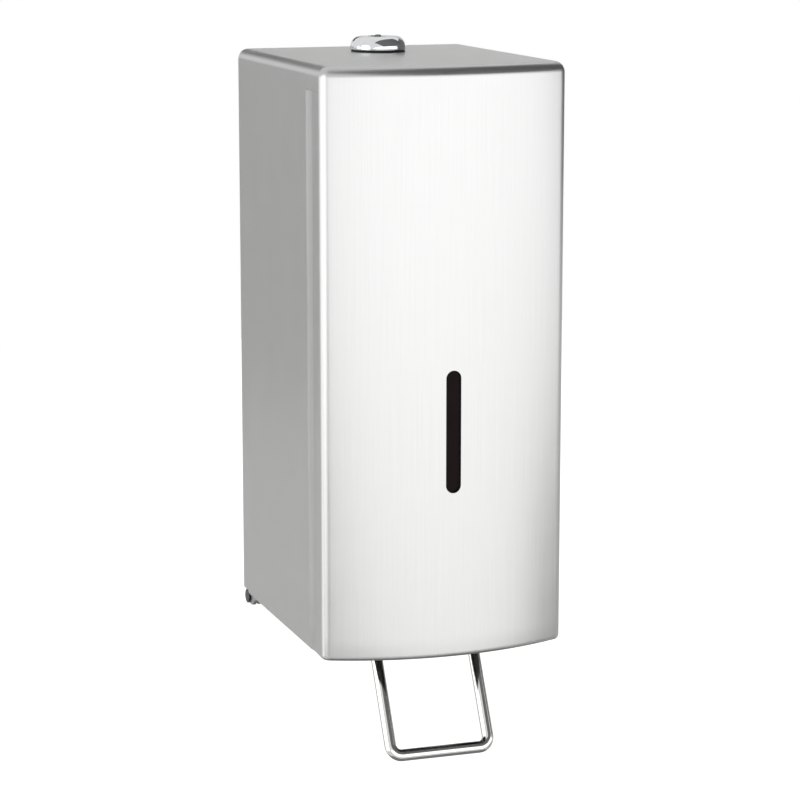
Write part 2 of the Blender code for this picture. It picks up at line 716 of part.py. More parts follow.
def make_lock_rings():
    """Gasket under the dome, and the washer and nut under the cover's top."""
    inner = LOCK_BODY_RADIUS + FIT
    gasket_top = COVER_TOP_Z + FIT + LOCK_GASKET_SHEET
    washer_top = COVER_TOP_Z - COVER_SHEET - FIT
    nut_top = washer_top - LOCK_WASHER_SHEET - FIT
    frame = level(0.0, y=LOCK_Y)
    gasket_outer = LOCK_RIM_RADIUS - LOCK_GASKET_INSET
    gasket = turned("lock_gasket", ring_profile(gasket_outer, inner, gasket_top, COVER_TOP_Z + FIT), frame)
    washer = turned("lock_washer", ring_profile(LOCK_WASHER_RADIUS, inner, washer_top,
                                                washer_top - LOCK_WASHER_SHEET), frame)
    hexagon = circle((0.0, 0.0), LOCK_NUT_RADIUS, HEXAGON)
    bore = circle((0.0, 0.0), inner, ROUND_STEPS)
    nut = plate("lock_nut", [hexagon, bore], LOCK_NUT_LENGTH, level(nut_top - LOCK_NUT_LENGTH / 2, y=LOCK_Y))
    return [paint(gasket, "black rubber"), paint(washer, "zinc plate"), paint(nut, "zinc plate")]


def make_lock_plug():
    """Turning core: a recessed key face with a centre post, and a threaded end for the cam."""
    face_z = DOME_TOP_Z - PLUG_RECESS
    end_z = LOCK_BODY_END_Z - PLUG_OVERHANG
    bore = CAM_SCREW_RADIUS + FIT
    depth = end_z + CAM_SCREW_DEPTH + FIT
    profile = [
        (0.0, DOME_TOP_Z + PLUG_POST_PROUD), (PLUG_POST_RADIUS, DOME_TOP_Z + PLUG_POST_PROUD),
        (PLUG_POST_RADIUS, face_z), (PLUG_RADIUS, face_z), (PLUG_RADIUS, end_z),
        (bore, end_z), (bore, depth), (0.0, depth),
    ]
    return paint(turned("lock_plug", profile, level(0.0, y=LOCK_Y)), "chrome")


def make_lock_cam():
    """The tongue that turns behind the strike; here it points at the wall."""
    half = CAM_HALF_WIDTH
    corners = [(-half, -half), (half, -half), (half, CAM_LENGTH), (-half, CAM_LENGTH)]
    outline = rounded(corners, half / 2)
    hole = circle((0.0, 0.0), CAM_SCREW_RADIUS + FIT)
    frame = level((CAM_TOP_Z + CAM_BOTTOM_Z) / 2, y=LOCK_Y)
    return paint(plate("lock_cam", [outline, hole], CAM_SHEET, frame), "zinc plate")


def make_cam_screw():
    head_top = CAM_BOTTOM_Z - FIT
    shank_top = LOCK_BODY_END_Z - PLUG_OVERHANG + CAM_SCREW_DEPTH
    profile = [
        (0.0, shank_top), (CAM_SCREW_RADIUS, shank_top), (CAM_SCREW_RADIUS, head_top),
        (CAM_SCREW_HEAD_RADIUS, head_top), (CAM_SCREW_HEAD_RADIUS, head_top - CAM_SCREW_HEAD_LENGTH),
        (0.0, head_top - CAM_SCREW_HEAD_LENGTH),
    ]
    return paint(turned("cam_screw", profile, level(0.0, y=LOCK_Y), SMALL_STEPS), "zinc plate")


# Back plate and what is fixed to it

def bracket_holes():
    """Screw places of the pump bracket's flanges, as (x, z)."""
    x = CHEEK_HALF_GAP + CHEEK_SHEET + FLANGE_WIDTH / 2
    top = SHELF_TOP_Z - SCREW_EDGE
    bottom = SHELF_TOP_Z - CHEEK_REAR_DEPTH + SCREW_EDGE
    return [(-x, top), (x, top), (-x, bottom), (x, bottom)]


def hook_base_z():
    return TANK_BOTTOM_Z + TANK_HEIGHT + FIT


def hook_centre_x():
    """The hook stands beside the strike bracket."""
    return STRIKE_CENTRE_X + STRIKE_WIDTH / 2 + HOOK_STRIKE_GAP + HOOK_WIDTH / 2


def hook_holes():
    z = hook_base_z() + HOOK_HEIGHT - SCREW_EDGE
    x = hook_centre_x()
    return [(x - HOOK_SCREW_SPACING / 2, z), (x + HOOK_SCREW_SPACING / 2, z)]


def strike_arm_top():
    return CAM_BOTTOM_Z - STRIKE_CAM_DROP


def strike_holes():
    z = strike_arm_top() - STRIKE_FLANGE_HEIGHT / 2
    return [(STRIKE_CENTRE_X - RIVET_SPACING / 2, z), (STRIKE_CENTRE_X + RIVET_SPACING / 2, z)]


def wall_holes():
    top = COVER_TOP_Z - BACK_TOP_DROP - WALL_HOLE_TOP_DROP
    low = COVER_BOTTOM_Z + WALL_HOLE_RISE
    return [(sign * WALL_HOLE_SIDE, z) for sign in (-1, 1) for z in (top, low)]


def make_back_plate():
    """Flat plate on the wall, with two ears bent forward for the hinge pins."""
    half = BACK_HALF_WIDTH
    low = COVER_BOTTOM_Z + BACK_BOTTOM_RISE
    high = COVER_TOP_Z - BACK_TOP_DROP
    edge = rounded([(-half, low), (half, low), (half, high), (-half, high)], BACK_CORNER_RADIUS)
    holes = [circle(spot, WALL_HOLE_RADIUS) for spot in wall_holes()]
    holes += [circle(spot, SCREW_RADIUS + FIT) for spot in bracket_holes() + hook_holes()]
    holes += [circle(spot, RIVET_RADIUS + FIT, SMALL_STEPS // 2) for spot in strike_holes()]
    item = plate("back_plate", [edge] + holes, BACK_SHEET, upright(-BACK_SHEET / 2))
    for side, sign in SIDES:
        outline = leaf_outline(EAR_RISE + BACK_CORNER_RADIUS, -BACK_SHEET / 2)
        hole = circle((HINGE_Y, HINGE_Z), HINGE_HOLE_RADIUS)
        centre = sign * (EAR_INNER_X + EAR_OUTER_X) / 2
        join(item, plate("ear_" + side, [outline, hole], HINGE_LEAF_SHEET, sideways(centre)))
    return paint(item, "plain steel")


def make_hinge_pin(name, sign):
    """Rivet through the ear and the cover's tab, with its head in the cover's notch."""
    head_in = TAB_OUTER_X + FIT
    head_out = head_in + HINGE_HEAD_LENGTH
    tail_out = EAR_INNER_X - FIT
    tail_in = tail_out - HINGE_TAIL_LENGTH
    radius = HINGE_PIN_RADIUS
    profile = [
        (0.0, head_out), (HINGE_HEAD_RADIUS, head_out), (HINGE_HEAD_RADIUS, head_in), (radius, head_in),
        (radius, tail_out), (HINGE_HEAD_RADIUS, tail_out), (HINGE_HEAD_RADIUS, tail_in), (0.0, tail_in),
    ]
    frame = turned_to((0.0, HINGE_Y, HINGE_Z), (sign, 0.0, 0.0))
    return paint(turned(name, profile, frame, SMALL_STEPS), "black acetal")


def make_hinge_washers():
    outer = TAB_INNER_X - FIT
    inner = EAR_OUTER_X + FIT
    for side, sign in SIDES:
        profile = ring_profile(WASHER_RADIUS, HINGE_HOLE_RADIUS, outer, inner)
        frame = turned_to((0.0, HINGE_Y, HINGE_Z), (sign, 0.0, 0.0))
        paint(turned("hinge_washer_" + side, profile, frame, SMALL_STEPS), "white acetal")


def fixing_profile(radius, head_radius, head_length, grip):
    """A screw or rivet whose shank runs from its head, at 0, through the grip."""
    return [
        (0.0, head_length), (head_radius * HEAD_FLAT_SHARE, head_length), (head_radius, head_length / 2),
        (head_radius, 0.0), (radius, 0.0), (radius, -grip), (0.0, -grip),
    ]


def make_fixings(name, places, sizes, sheet, finish):
    """Screws or rivets that hold a flange of the given sheet on the back plate."""
    head_y = FIXED_FACE_Y - sheet - FIT
    grip = BACK_SHEET + sheet + FIT
    for index, (x, z) in enumerate(places):
        frame = turned_to((x, head_y, z), (0.0, -1.0, 0.0))
        item = turned("%s_%d" % (name, index + 1), fixing_profile(*sizes, grip), frame, SMALL_STEPS)
        paint(item, finish)


SCREW_SIZES = (SCREW_RADIUS, SCREW_HEAD_RADIUS, SCREW_HEAD_LENGTH)
RIVET_SIZES = (RIVET_RADIUS, RIVET_HEAD_RADIUS, RIVET_HEAD_LENGTH)


def make_strike_bracket():
    """Bent strip whose raised lip holds the cam when the lock is turned."""
    lip_y = LOCK_Y - CAM_HALF_WIDTH - STRIKE_CAM_GAP - STRIKE_SHEET
    top = strike_arm_top()
    path = [
        (FIXED_FACE_Y, top - STRIKE_FLANGE_HEIGHT), (FIXED_FACE_Y, top),
        (lip_y + STRIKE_SHEET, top), (lip_y + STRIKE_SHEET, top + STRIKE_LIP_RISE),
    ]
    outline = folded(path, STRIKE_SHEET)
    item = plate("strike_bracket", [outline], STRIKE_WIDTH, sideways(STRIKE_CENTRE_X))
    for index, spot in enumerate(strike_holes()):
        hole = circle(spot, RIVET_RADIUS + FIT, SMALL_STEPS // 2)
        cut(item, plate("rivet_hole_%d" % index, [hole], 2 * CUT_OVERRUN, upright(FIXED_FACE_Y)))
    return paint(item, "zinc plate")


def make_tank_hook():
    """Angle over the tank's rear top edge."""
    base = hook_base_z()
    path = [(FIXED_FACE_Y - HOOK_REACH, base), (FIXED_FACE_Y, base), (FIXED_FACE_Y, base + HOOK_HEIGHT)]
    item = plate("tank_hook", [folded(path, HOOK_SHEET)], HOOK_WIDTH, sideways(hook_centre_x()))
    for index, spot in enumerate(hook_holes()):
        hole = circle(spot, SCREW_RADIUS + FIT, SMALL_STEPS)
        cut(item, plate("hook_hole_%d" % index, [hole], 2 * CUT_OVERRUN, upright(FIXED_FACE_Y)))
    return paint(item, "zinc plate")


def make_pump_bracket():
    """Shelf under the tank, with two cheeks that hold the axle and two screwed flanges."""
    overlap = CHEEK_SHEET / 2
    reach = CHEEK_HALF_GAP + overlap
    front = AXLE_Y - CHEEK_FRONT_MARGIN
    shelf = [(-reach, front), (reach, front), (reach, FIXED_FACE_Y), (-reach, FIXED_FACE_Y)]
    hole = circle((0.0, PUMP_Y), TANK_NECK_RADIUS + FIT, ROUND_STEPS)
    item = plate("pump_bracket", [shelf, hole], SHELF_SHEET, level((SHELF_TOP_Z + SHELF_BOTTOM_Z) / 2))
    low = AXLE_Z - CHEEK_BELOW_AXLE
    rear_low = SHELF_TOP_Z - CHEEK_REAR_DEPTH
    throat_y = AXLE_Y + CHEEK_FRONT_MARGIN
    corners = [
        (front, low), (throat_y, low), (throat_y, rear_low), (FIXED_FACE_Y, rear_low),
        (FIXED_FACE_Y, SHELF_TOP_Z), (front, SHELF_TOP_Z),
    ]
    cheek = rounded(corners, CHEEK_CORNER_RADIUS, sharp=3)
    axle_hole = circle((AXLE_Y, AXLE_Z), AXLE_RADIUS + 2 * FIT + BUSH_SLEEVE_WALL)
    holes = bracket_holes()
    for side, sign in SIDES:
        centre = sign * (CHEEK_HALF_GAP + CHEEK_SHEET / 2)
        join(item, plate("cheek_" + side, [cheek, axle_hole], CHEEK_SHEET, sideways(centre)))
        near = sign * reach
        far = sign * (CHEEK_HALF_GAP + CHEEK_SHEET + FLANGE_WIDTH)
        left = min(near, far)
        right = max(near, far)
        edge = [(left, rear_low), (right, rear_low), (right, SHELF_TOP_Z), (left, SHELF_TOP_Z)]
        screws = [circle(spot, SCREW_RADIUS + FIT) for spot in holes if spot[0] * sign > 0.0]
        flange_y = FIXED_FACE_Y - CHEEK_SHEET / 2
        join(item, plate("flange_" + side, [edge] + screws, CHEEK_SHEET, upright(flange_y)))
    return paint(item, "plain steel")


# Tank

def make_tank():
    """Moulded reservoir with a neck under it and a filler hole in its top."""
    half = TANK_WIDTH / 2
    back = -TANK_BACK_SETBACK
    front = back - TANK_DEPTH
    top = TANK_BOTTOM_Z + TANK_HEIGHT
    wall = TANK_WALL
    item = block("tank", (-half, front, TANK_BOTTOM_Z), (half, back, top), TANK_EDGE_RADIUS)
    neck = level(0.0, y=PUMP_Y)
    filler = level(0.0, y=-FILLER_SETBACK)
    neck_top = TANK_BOTTOM_Z + wall / 2
    # The exact solver leaves cracks at the neck's root.
    solver = "MANIFOLD"
    join(item, turned("neck", rod_profile(TANK_NECK_RADIUS, neck_top, NECK_END_Z), neck), solver)
    neck_bore = rod_profile(TANK_NECK_BORE, TANK_BOTTOM_Z + 2 * wall, NECK_END_Z - CUT_OVERRUN)
    cut(item, turned("neck_bore", neck_bore, neck), solver)
    filler_bore = rod_profile(FILLER_RADIUS - wall, top + CUT_OVERRUN, top - 2 * wall)
    cut(item, turned("filler_bore", filler_bore, filler), solver)
    inside_radius = max(TANK_EDGE_RADIUS - wall, wall)
    cut(item, block("tank_inside", (-half + wall, front + wall, TANK_BOTTOM_Z + wall),
                    (half - wall, back - wall, top - wall), inside_radius), solver)
    return paint(item, "natural polyethylene")


def make_filler_collar():
    """Ring welded round the filler hole, which the lid fits over."""
    top = TANK_BOTTOM_Z + TANK_HEIGHT
    shape = ring_profile(FILLER_RADIUS, FILLER_RADIUS - TANK_WALL, top + FILLER_HEIGHT, top + FIT)
    collar = turned("filler_collar", shape, level(0.0, y=-FILLER_SETBACK))
    return paint(collar, "natural polyethylene")


def make_lid_and_seal():
    frame = level(0.0, y=-FILLER_SETBACK)
    top = TANK_BOTTOM_Z + TANK_HEIGHT
    rim = top + FILLER_HEIGHT
    seal_top = rim + FIT + SEAL_SHEET
    seal_shape = ring_profile(FILLER_RADIUS, FILLER_RADIUS - TANK_WALL, seal_top, rim + FIT)
    seal = turned("lid_seal", seal_shape, frame)
    inner = FILLER_RADIUS + FIT
    outer = inner + LID_SHEET
    roof = seal_top + FIT
    edge = LID_SHEET / 2
    profile = [
        (0.0, roof + LID_SHEET), (outer - edge, roof + LID_SHEET), (outer, roof + edge),
        (outer, top + LID_SKIRT_GAP), (inner, top + LID_SKIRT_GAP), (inner, roof), (0.0, roof),
    ]
    lid = turned("tank_lid", profile, frame, 2 * SMALL_STEPS)
    return [paint(lid, "white acetal"), paint(seal, "silicone")]


# Pump

def pump_frame():
    return level(0.0, y=PUMP_Y)


def make_cylinder_group():
    """Cylinder with its gasket, ring nut and inlet valve, all on the pump's axis."""
    frame = pump_frame()
    outer = CYLINDER_BORE + CYLINDER_WALL
    roof = CYLINDER_HEAD_Z + CYLINDER_HEAD
    profile = [
        (INLET_RADIUS, roof), (outer, roof), (outer, FLANGE_TOP_Z), (TANK_NECK_RADIUS, FLANGE_TOP_Z),
        (TANK_NECK_RADIUS, FLANGE_BOTTOM_Z), (CYLINDER_BORE, FLANGE_BOTTOM_Z),
        (CYLINDER_BORE, CYLINDER_HEAD_Z), (INLET_RADIUS, CYLINDER_HEAD_Z),
    ]
    cylinder = turned("pump_cylinder", profile, frame)
    gasket_shape = ring_profile(TANK_NECK_RADIUS, TANK_NECK_BORE, GASKET_Z, GASKET_Z - GASKET_SHEET)
    gasket = turned("pump_gasket", gasket_shape, frame)
    nut_top = SHELF_BOTTOM_Z - FIT
    thread = TANK_NECK_RADIUS + FIT
    stem_hole = PLUNGER_STEM_RADIUS + 2 * FIT
    nut_profile = [
        (NUT_RADIUS, nut_top), (NUT_RADIUS, NUT_BOTTOM_Z), (stem_hole, NUT_BOTTOM_Z),
        (stem_hole, NUT_FLOOR_TOP_Z), (thread, NUT_FLOOR_TOP_Z), (thread, nut_top),
    ]
    nut = turned("pump_nut", nut_profile, frame)
    bulb_low = roof + FIT
    disc_top = CYLINDER_HEAD_Z - FIT
    stem = VALVE_STEM_RADIUS
    bulb = VALVE_BULB_RADIUS
    valve_profile = [
        (0.0, bulb_low + VALVE_BULB_LENGTH), (bulb * VALVE_TIP_SHARE, bulb_low + VALVE_BULB_LENGTH),
        (bulb, bulb_low),
        (stem, bulb_low), (stem, disc_top), (VALVE_RADIUS, disc_top),
        (VALVE_RADIUS, disc_top - VALVE_SHEET), (0.0, disc_top - VALVE_SHEET),
    ]
    valve = turned("inlet_valve", valve_profile, frame, SMALL_STEPS)
    return [
        paint(cylinder, "white acetal"), paint(gasket, "black rubber"),
        paint(nut, "white acetal"), paint(valve, "silicone"),
    ]


def make_plunger():
    """Hollow stem with a piston at the top and the grooved collar that the fork lifts."""
    frame = pump_frame()
    piston = CYLINDER_BORE - PISTON_GAP
    groove = piston - PISTON_GROOVE_DEPTH
    groove_top = PISTON_TOP_Z - PISTON_LAND
    groove_low = PISTON_BOTTOM_Z + PISTON_LAND
    upper = GROOVE_Z + GROOVE_HALF_HEIGHT
    lower = GROOVE_Z - GROOVE_HALF_HEIGHT
    spout_end = COLLAR_BOTTOM_Z - SPOUT_STEM_LENGTH
    stem = PLUNGER_STEM_RADIUS
    core = COLLAR_CORE_RADIUS
    profile = [
        (PLUNGER_BORE, PISTON_TOP_Z), (piston, PISTON_TOP_Z), (piston, groove_top), (groove, groove_top),
        (groove, groove_low), (piston, groove_low), (piston, PISTON_BOTTOM_Z), (stem, PISTON_BOTTOM_Z),
        (stem, COLLAR_TOP_Z), (COLLAR_RADIUS, COLLAR_TOP_Z), (COLLAR_RADIUS, upper), (core, upper),
        (core, lower), (COLLAR_RADIUS, lower), (COLLAR_RADIUS, COLLAR_BOTTOM_Z), (core, COLLAR_BOTTOM_Z),
        (core, spout_end), (PLUNGER_BORE, spout_end),
    ]
    plunger = turned("plunger", profile, frame)
    seal_shape = ring_profile(CYLINDER_BORE - FIT, groove + FIT, groove_top - FIT, groove_low + FIT)
    seal = turned("piston_seal", seal_shape, frame)
    return [paint(plunger, "white acetal"), paint(seal, "black rubber")]


def make_nozzle():
    """Spout pushed over the plunger's lower end, with a duckbill valve held inside it."""
    frame = pump_frame()
    socket = COLLAR_CORE_RADIUS + FIT
    top = COLLAR_BOTTOM_Z - NOZZLE_COLLAR_GAP
    tip = top - NOZZLE_LENGTH
    seat = COLLAR_BOTTOM_Z - SPOUT_STEM_LENGTH - 2 * FIT - DUCKBILL_FLANGE
    chamber = DUCKBILL_RADIUS + 2 * FIT
    chamber_end = seat - DUCKBILL_LENGTH - FIT
    profile = [
        (NOZZLE_RADIUS, top), (NOZZLE_RADIUS, tip + NOZZLE_TAPER_LENGTH), (NOZZLE_TIP_RADIUS, tip),
        (NOZZLE_BORE, tip), (NOZZLE_BORE, chamber_end), (chamber, chamber_end), (chamber, seat),
        (socket, seat), (socket, top),
    ]
    nozzle = turned("nozzle_tip", profile, frame)
    flange_low = seat + FIT
    valve_profile = [
        (0.0, flange_low + DUCKBILL_FLANGE), (COLLAR_CORE_RADIUS, flange_low + DUCKBILL_FLANGE),
        (COLLAR_CORE_RADIUS, flange_low), (DUCKBILL_RADIUS, flange_low),
        (DUCKBILL_TIP_RADIUS, seat - DUCKBILL_LENGTH), (0.0, seat - DUCKBILL_LENGTH),
    ]
    valve = turned("outlet_valve", valve_profile, frame, SMALL_STEPS)
    return [paint(nozzle, "white acetal"), paint(valve, "silicone")]


def make_return_spring():
    """One wire wound as an open helix between the ring nut and the plunger's collar."""
    top = NUT_BOTTOM_Z - FIT - SPRING_WIRE_RADIUS
    bottom = COLLAR_TOP_Z + FIT + SPRING_WIRE_RADIUS
    count = SPRING_TURNS * SPRING_POINTS_PER_TURN
    points = []
    for index in range(count + 1):
        angle = 2 * math.pi * index / SPRING_POINTS_PER_TURN
        x = SPRING_RADIUS * math.cos(angle)
        y = PUMP_Y + SPRING_RADIUS * math.sin(angle)
        points.append(Vector((x, y, top + (bottom - top) * index / count)))
    item = tube("return_spring", points, SPRING_WIRE_RADIUS, 1)
    far = SPRING_POINTS_PER_TURN // 2
    gaps = [(a - b).length for i, a in enumerate(points) for b in points[i + far:]]
    print("least gap of the return spring to itself, mm: %.2f" % ((min(gaps) - 2 * SPRING_WIRE_RADIUS) / MM))
    return paint(item, "plain steel")


# Bail and rocker

def bail_direction():
    """The way the bail's legs run from the axle, down and away from the wall."""
    return Vector((0.0, -math.sin(BAIL_TILT), -math.cos(BAIL_TILT)))


def make_bail():
    """Wire bent to a U: its two ends sit in the rocker's sockets."""
    axle = Vector((0.0, AXLE_Y, AXLE_Z))
    down = bail_direction()
    start = BARREL_RADIUS + FIT
    straight = BAIL_HALF_WIDTH - BAIL_BEND_RADIUS
    drop = BAIL_REACH - BAIL_BEND_RADIUS
    flat = [(-BAIL_HALF_WIDTH, start)]
    flat += arc((-straight, drop), BAIL_BEND_RADIUS, math.pi, math.pi / 2, ARC_STEPS + 1)
    flat += arc((straight, drop), BAIL_BEND_RADIUS, math.pi / 2, 0.0, ARC_STEPS + 1)
    flat.append((BAIL_HALF_WIDTH, start))
    points = [axle + Vector((x, 0.0, 0.0)) + down * reach for x, reach in flat]
    return paint(tube("bail_wire", points, BAIL_WIRE_RADIUS, 3), "polished wire")


def make_rocker():
    """Moulded lever: barrel on the axle, two sockets for the bail and a fork with pins."""
    axle = (0.0, AXLE_Y, AXLE_Z)
    down = bail_direction()
    half = CHEEK_HALF_GAP - BUSH_FLANGE_SHEET - 2 * FIT
    along = (1.0, 0.0, 0.0)
    item = turned("rocker", rod_profile(BARREL_RADIUS, half, -half), turned_to(axle, along))
    arm_inner = COLLAR_RADIUS + FORK_COLLAR_GAP
    arm_outer = arm_inner + FORK_SHEET
    pin_end = COLLAR_CORE_RADIUS + FIT
    tip = (AXLE_Y + FORK_REACH * math.cos(FORK_RISE), GROOVE_Z)
    lean = -FORK_RISE
    nose = arc(tip, FORK_HALF_HEIGHT, lean - math.pi / 2, lean + math.pi / 2, 2 * ARC_STEPS)
    heel = arc((AXLE_Y, AXLE_Z), FORK_HALF_HEIGHT, lean + math.pi / 2, lean + 1.5 * math.pi, 2 * ARC_STEPS)
    for side, sign in SIDES:
        centre = sign * (arm_inner + arm_outer) / 2
        join(item, plate("fork_" + side, [nose + heel], FORK_SHEET, sideways(centre)))
        pin = rod_profile(FORK_PIN_RADIUS, arm_outer - FORK_SHEET / 2, pin_end)
        join(item, turned("fork_pin_" + side, pin, turned_to((0.0, *tip), (sign, 0.0, 0.0)), SMALL_STEPS))
        root = Vector((sign * BAIL_HALF_WIDTH, AXLE_Y, AXLE_Z))
        socket = rod_profile(SOCKET_RADIUS, SOCKET_LENGTH, 0.0)
        join(item, turned("socket_" + side, socket, turned_to(root, down), SMALL_STEPS))
    bore = rod_profile(AXLE_RADIUS + FIT, half + CUT_OVERRUN, -half - CUT_OVERRUN)
    cut(item, turned("axle_bore", bore, turned_to(axle, along), SMALL_STEPS))
    for side, sign in SIDES:
        root = Vector((sign * BAIL_HALF_WIDTH, AXLE_Y, AXLE_Z))
        hole = rod_profile(BAIL_WIRE_RADIUS + FIT, SOCKET_LENGTH + CUT_OVERRUN, BARREL_RADIUS)
        cut(item, turned("wire_bore_" + side, hole, turned_to(root, down), SMALL_STEPS))
        grub = rod_profile(GRUB_RADIUS + FIT, SOCKET_RADIUS + CUT_OVERRUN, 0.0)
        cut(item, turned("grub_hole_" + side, grub, grub_frame(sign), SMALL_STEPS // 2))
    return paint(item, "black acetal")


def grub_frame(sign):
    """Set screws stand square to the bail's legs, on the side of the wall."""
    spot = Vector((sign * BAIL_HALF_WIDTH, AXLE_Y, AXLE_Z)) + bail_direction() * GRUB_FROM_AXLE
    return turned_to(spot, (0.0, math.cos(BAIL_TILT), -math.sin(BAIL_TILT)))


def make_set_screws():
    near = BAIL_WIRE_RADIUS + FIT
    far = SOCKET_RADIUS + GRUB_PROUD
    screws = []
    for side, sign in SIDES:
        profile = rod_profile(GRUB_RADIUS, far, near)
        screw = turned("set_screw_" + side, profile, grub_frame(sign), SMALL_STEPS // 2)
        screws.append(paint(screw, "zinc plate"))
    return screws


def cheek_outer_x():
    return CHEEK_HALF_GAP + CHEEK_SHEET


def make_axle():
    """Pin through both cheeks, grooved near its ends for the clips."""
    groove_in = cheek_outer_x() + FIT
    groove_out = groove_in + AXLE_GROOVE_WIDTH
    end = groove_out + AXLE_END
    radius = AXLE_RADIUS
    neck = AXLE_RADIUS - AXLE_GROOVE_DEPTH
    profile = [(0.0, end), (radius, end), (radius, groove_out), (neck, groove_out), (neck, groove_in)]
    profile.append((radius, groove_in))
    profile += [(reach, -height) for reach, height in reversed(profile)]
    axle = turned("rocker_axle", profile, turned_to((0.0, AXLE_Y, AXLE_Z), (1.0, 0.0, 0.0)), SMALL_STEPS)
    paint(axle, "plain steel")
    for side, sign in SIDES:
        start = CLIP_HALF_GAP - math.pi / 2
        end_angle = 1.5 * math.pi - CLIP_HALF_GAP
        centre = (AXLE_Y, AXLE_Z)
        outline = arc(centre, CLIP_RADIUS, start, end_angle, SMALL_STEPS)
        outline += arc(centre, neck + FIT, end_angle, start, SMALL_STEPS)
        x = sign * (groove_in + groove_out) / 2
        paint(plate("axle_clip_" + side, [outline], CLIP_SHEET, sideways(x)), "zinc plate")


def make_bushes():
    """Flanged bushes between the rocker and the cheeks."""
    inner = AXLE_RADIUS + FIT
    sleeve = inner + BUSH_SLEEVE_WALL
    flange_far = CHEEK_HALF_GAP - FIT
    flange_near = flange_far - BUSH_FLANGE_SHEET
    end = cheek_outer_x()
    profile = [
        (inner, end), (sleeve, end), (sleeve, flange_far), (BUSH_FLANGE_RADIUS, flange_far),
        (BUSH_FLANGE_RADIUS, flange_near), (inner, flange_near),
    ]
    for side, sign in SIDES:
        frame = turned_to((0.0, AXLE_Y, AXLE_Z), (sign, 0.0, 0.0))
        paint(turned("rocker_bush_" + side, profile, frame, SMALL_STEPS), "white acetal")


# Assembly

def build_wall_unit():
    make_back_plate()
    for side, sign in SIDES:
        make_hinge_pin("hinge_pin_" + side, sign)
    make_hinge_washers()
    make_strike_bracket()
    make_fixings("strike_rivet", strike_holes(), RIVET_SIZES, STRIKE_SHEET, "plain steel")
    make_tank()
    make_filler_collar()
    make_lid_and_seal()
    make_tank_hook()
    make_fixings("hook_screw", hook_holes(), SCREW_SIZES, HOOK_SHEET, "zinc plate")
    make_pump_bracket()
    make_fixings("bracket_screw", bracket_holes(), SCREW_SIZES, CHEEK_SHEET, "zinc plate")
    make_cylinder_group()
    make_return_spring()
    make_axle()
    make_bushes()


def build_cover():
    pieces = [make_cover_shell(), make_window(), make_retainer(), make_lock_housing()]
    pieces += [make_cover_hinge("cover_hinge_" + side, sign) for side, sign in SIDES]
    pieces += make_window_studs() + make_lock_rings()
    carry(pivot("cover_pivot", (0.0, HINGE_Y, HINGE_Z)), pieces)


def build_lock_core():
    pieces = [make_lock_plug(), make_lock_cam(), make_cam_screw()]
    carry(pivot("lock_pivot", (0.0, LOCK_Y, DOME_TOP_Z)), pieces)


def build_bail():
    pieces = [make_bail(), make_rocker()] + make_set_screws()
    carry(pivot("bail_pivot", (0.0, AXLE_Y, AXLE_Z)), pieces)


def build_plunger():
    carry(pivot("plunger_slide", (0.0, PUMP_Y, GROOVE_Z)), make_plunger() + make_nozzle())


def finish_parts():
    for item in PARTS.objects:
        if item.type == "MESH":
            shade(item.data)


clear_scene()
PARTS = new_collection("soap_dispenser")
CUTTERS = new_collection("soap_dispenser_cutters")
build_wall_unit()
build_cover()
build_lock_core()
build_bail()
build_plunger()
finish_parts()
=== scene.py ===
# %% [markdown]
# # Wall soap dispenser of satin stainless steel
#
# The dispenser is one folded steel cover on a back plate, with a soap tank and a small pump inside.
# A bent wire, the bail, comes out under the front and works the pump.
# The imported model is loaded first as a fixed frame.  Its pieces stay where they are: some get a
# better material, and those that show most are modelled again here, in the same place.

# %% Load the frame
import json
import math

import bmesh
import bpy
from mathutils import Matrix, Vector


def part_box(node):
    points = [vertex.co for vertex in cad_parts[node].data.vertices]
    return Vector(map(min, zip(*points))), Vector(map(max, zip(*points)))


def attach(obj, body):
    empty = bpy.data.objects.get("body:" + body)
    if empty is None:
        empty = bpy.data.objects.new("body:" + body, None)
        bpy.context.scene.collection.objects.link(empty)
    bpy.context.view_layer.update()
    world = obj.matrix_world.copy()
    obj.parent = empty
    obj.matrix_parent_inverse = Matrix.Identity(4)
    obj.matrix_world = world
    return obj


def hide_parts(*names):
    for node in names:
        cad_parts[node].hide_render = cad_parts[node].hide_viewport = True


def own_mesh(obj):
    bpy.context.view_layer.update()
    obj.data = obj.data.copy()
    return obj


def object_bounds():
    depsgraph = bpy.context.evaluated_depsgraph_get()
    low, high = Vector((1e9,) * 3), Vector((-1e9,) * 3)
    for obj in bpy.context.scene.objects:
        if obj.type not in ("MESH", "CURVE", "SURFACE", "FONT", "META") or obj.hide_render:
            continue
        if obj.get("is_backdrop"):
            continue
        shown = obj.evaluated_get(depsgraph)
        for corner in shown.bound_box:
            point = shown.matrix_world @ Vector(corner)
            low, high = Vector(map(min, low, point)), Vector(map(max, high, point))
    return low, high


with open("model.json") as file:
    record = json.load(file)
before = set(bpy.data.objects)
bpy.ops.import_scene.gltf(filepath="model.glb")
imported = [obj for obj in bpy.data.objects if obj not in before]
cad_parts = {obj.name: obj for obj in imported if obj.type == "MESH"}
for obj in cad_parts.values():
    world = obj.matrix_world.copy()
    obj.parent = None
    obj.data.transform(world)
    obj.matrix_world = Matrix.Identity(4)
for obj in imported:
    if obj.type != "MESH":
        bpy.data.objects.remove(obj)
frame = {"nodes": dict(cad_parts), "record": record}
cad_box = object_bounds()
MM = 0.001

# %% [markdown]
# ## Camera
#
# A product photo of this kind is taken with a long lens from a little above and to the left.
# The place and turn below were fitted to the corners of the cover, so the camera is written down as
# numbers and isn't aimed by a constraint, which would turn again if the object changed.

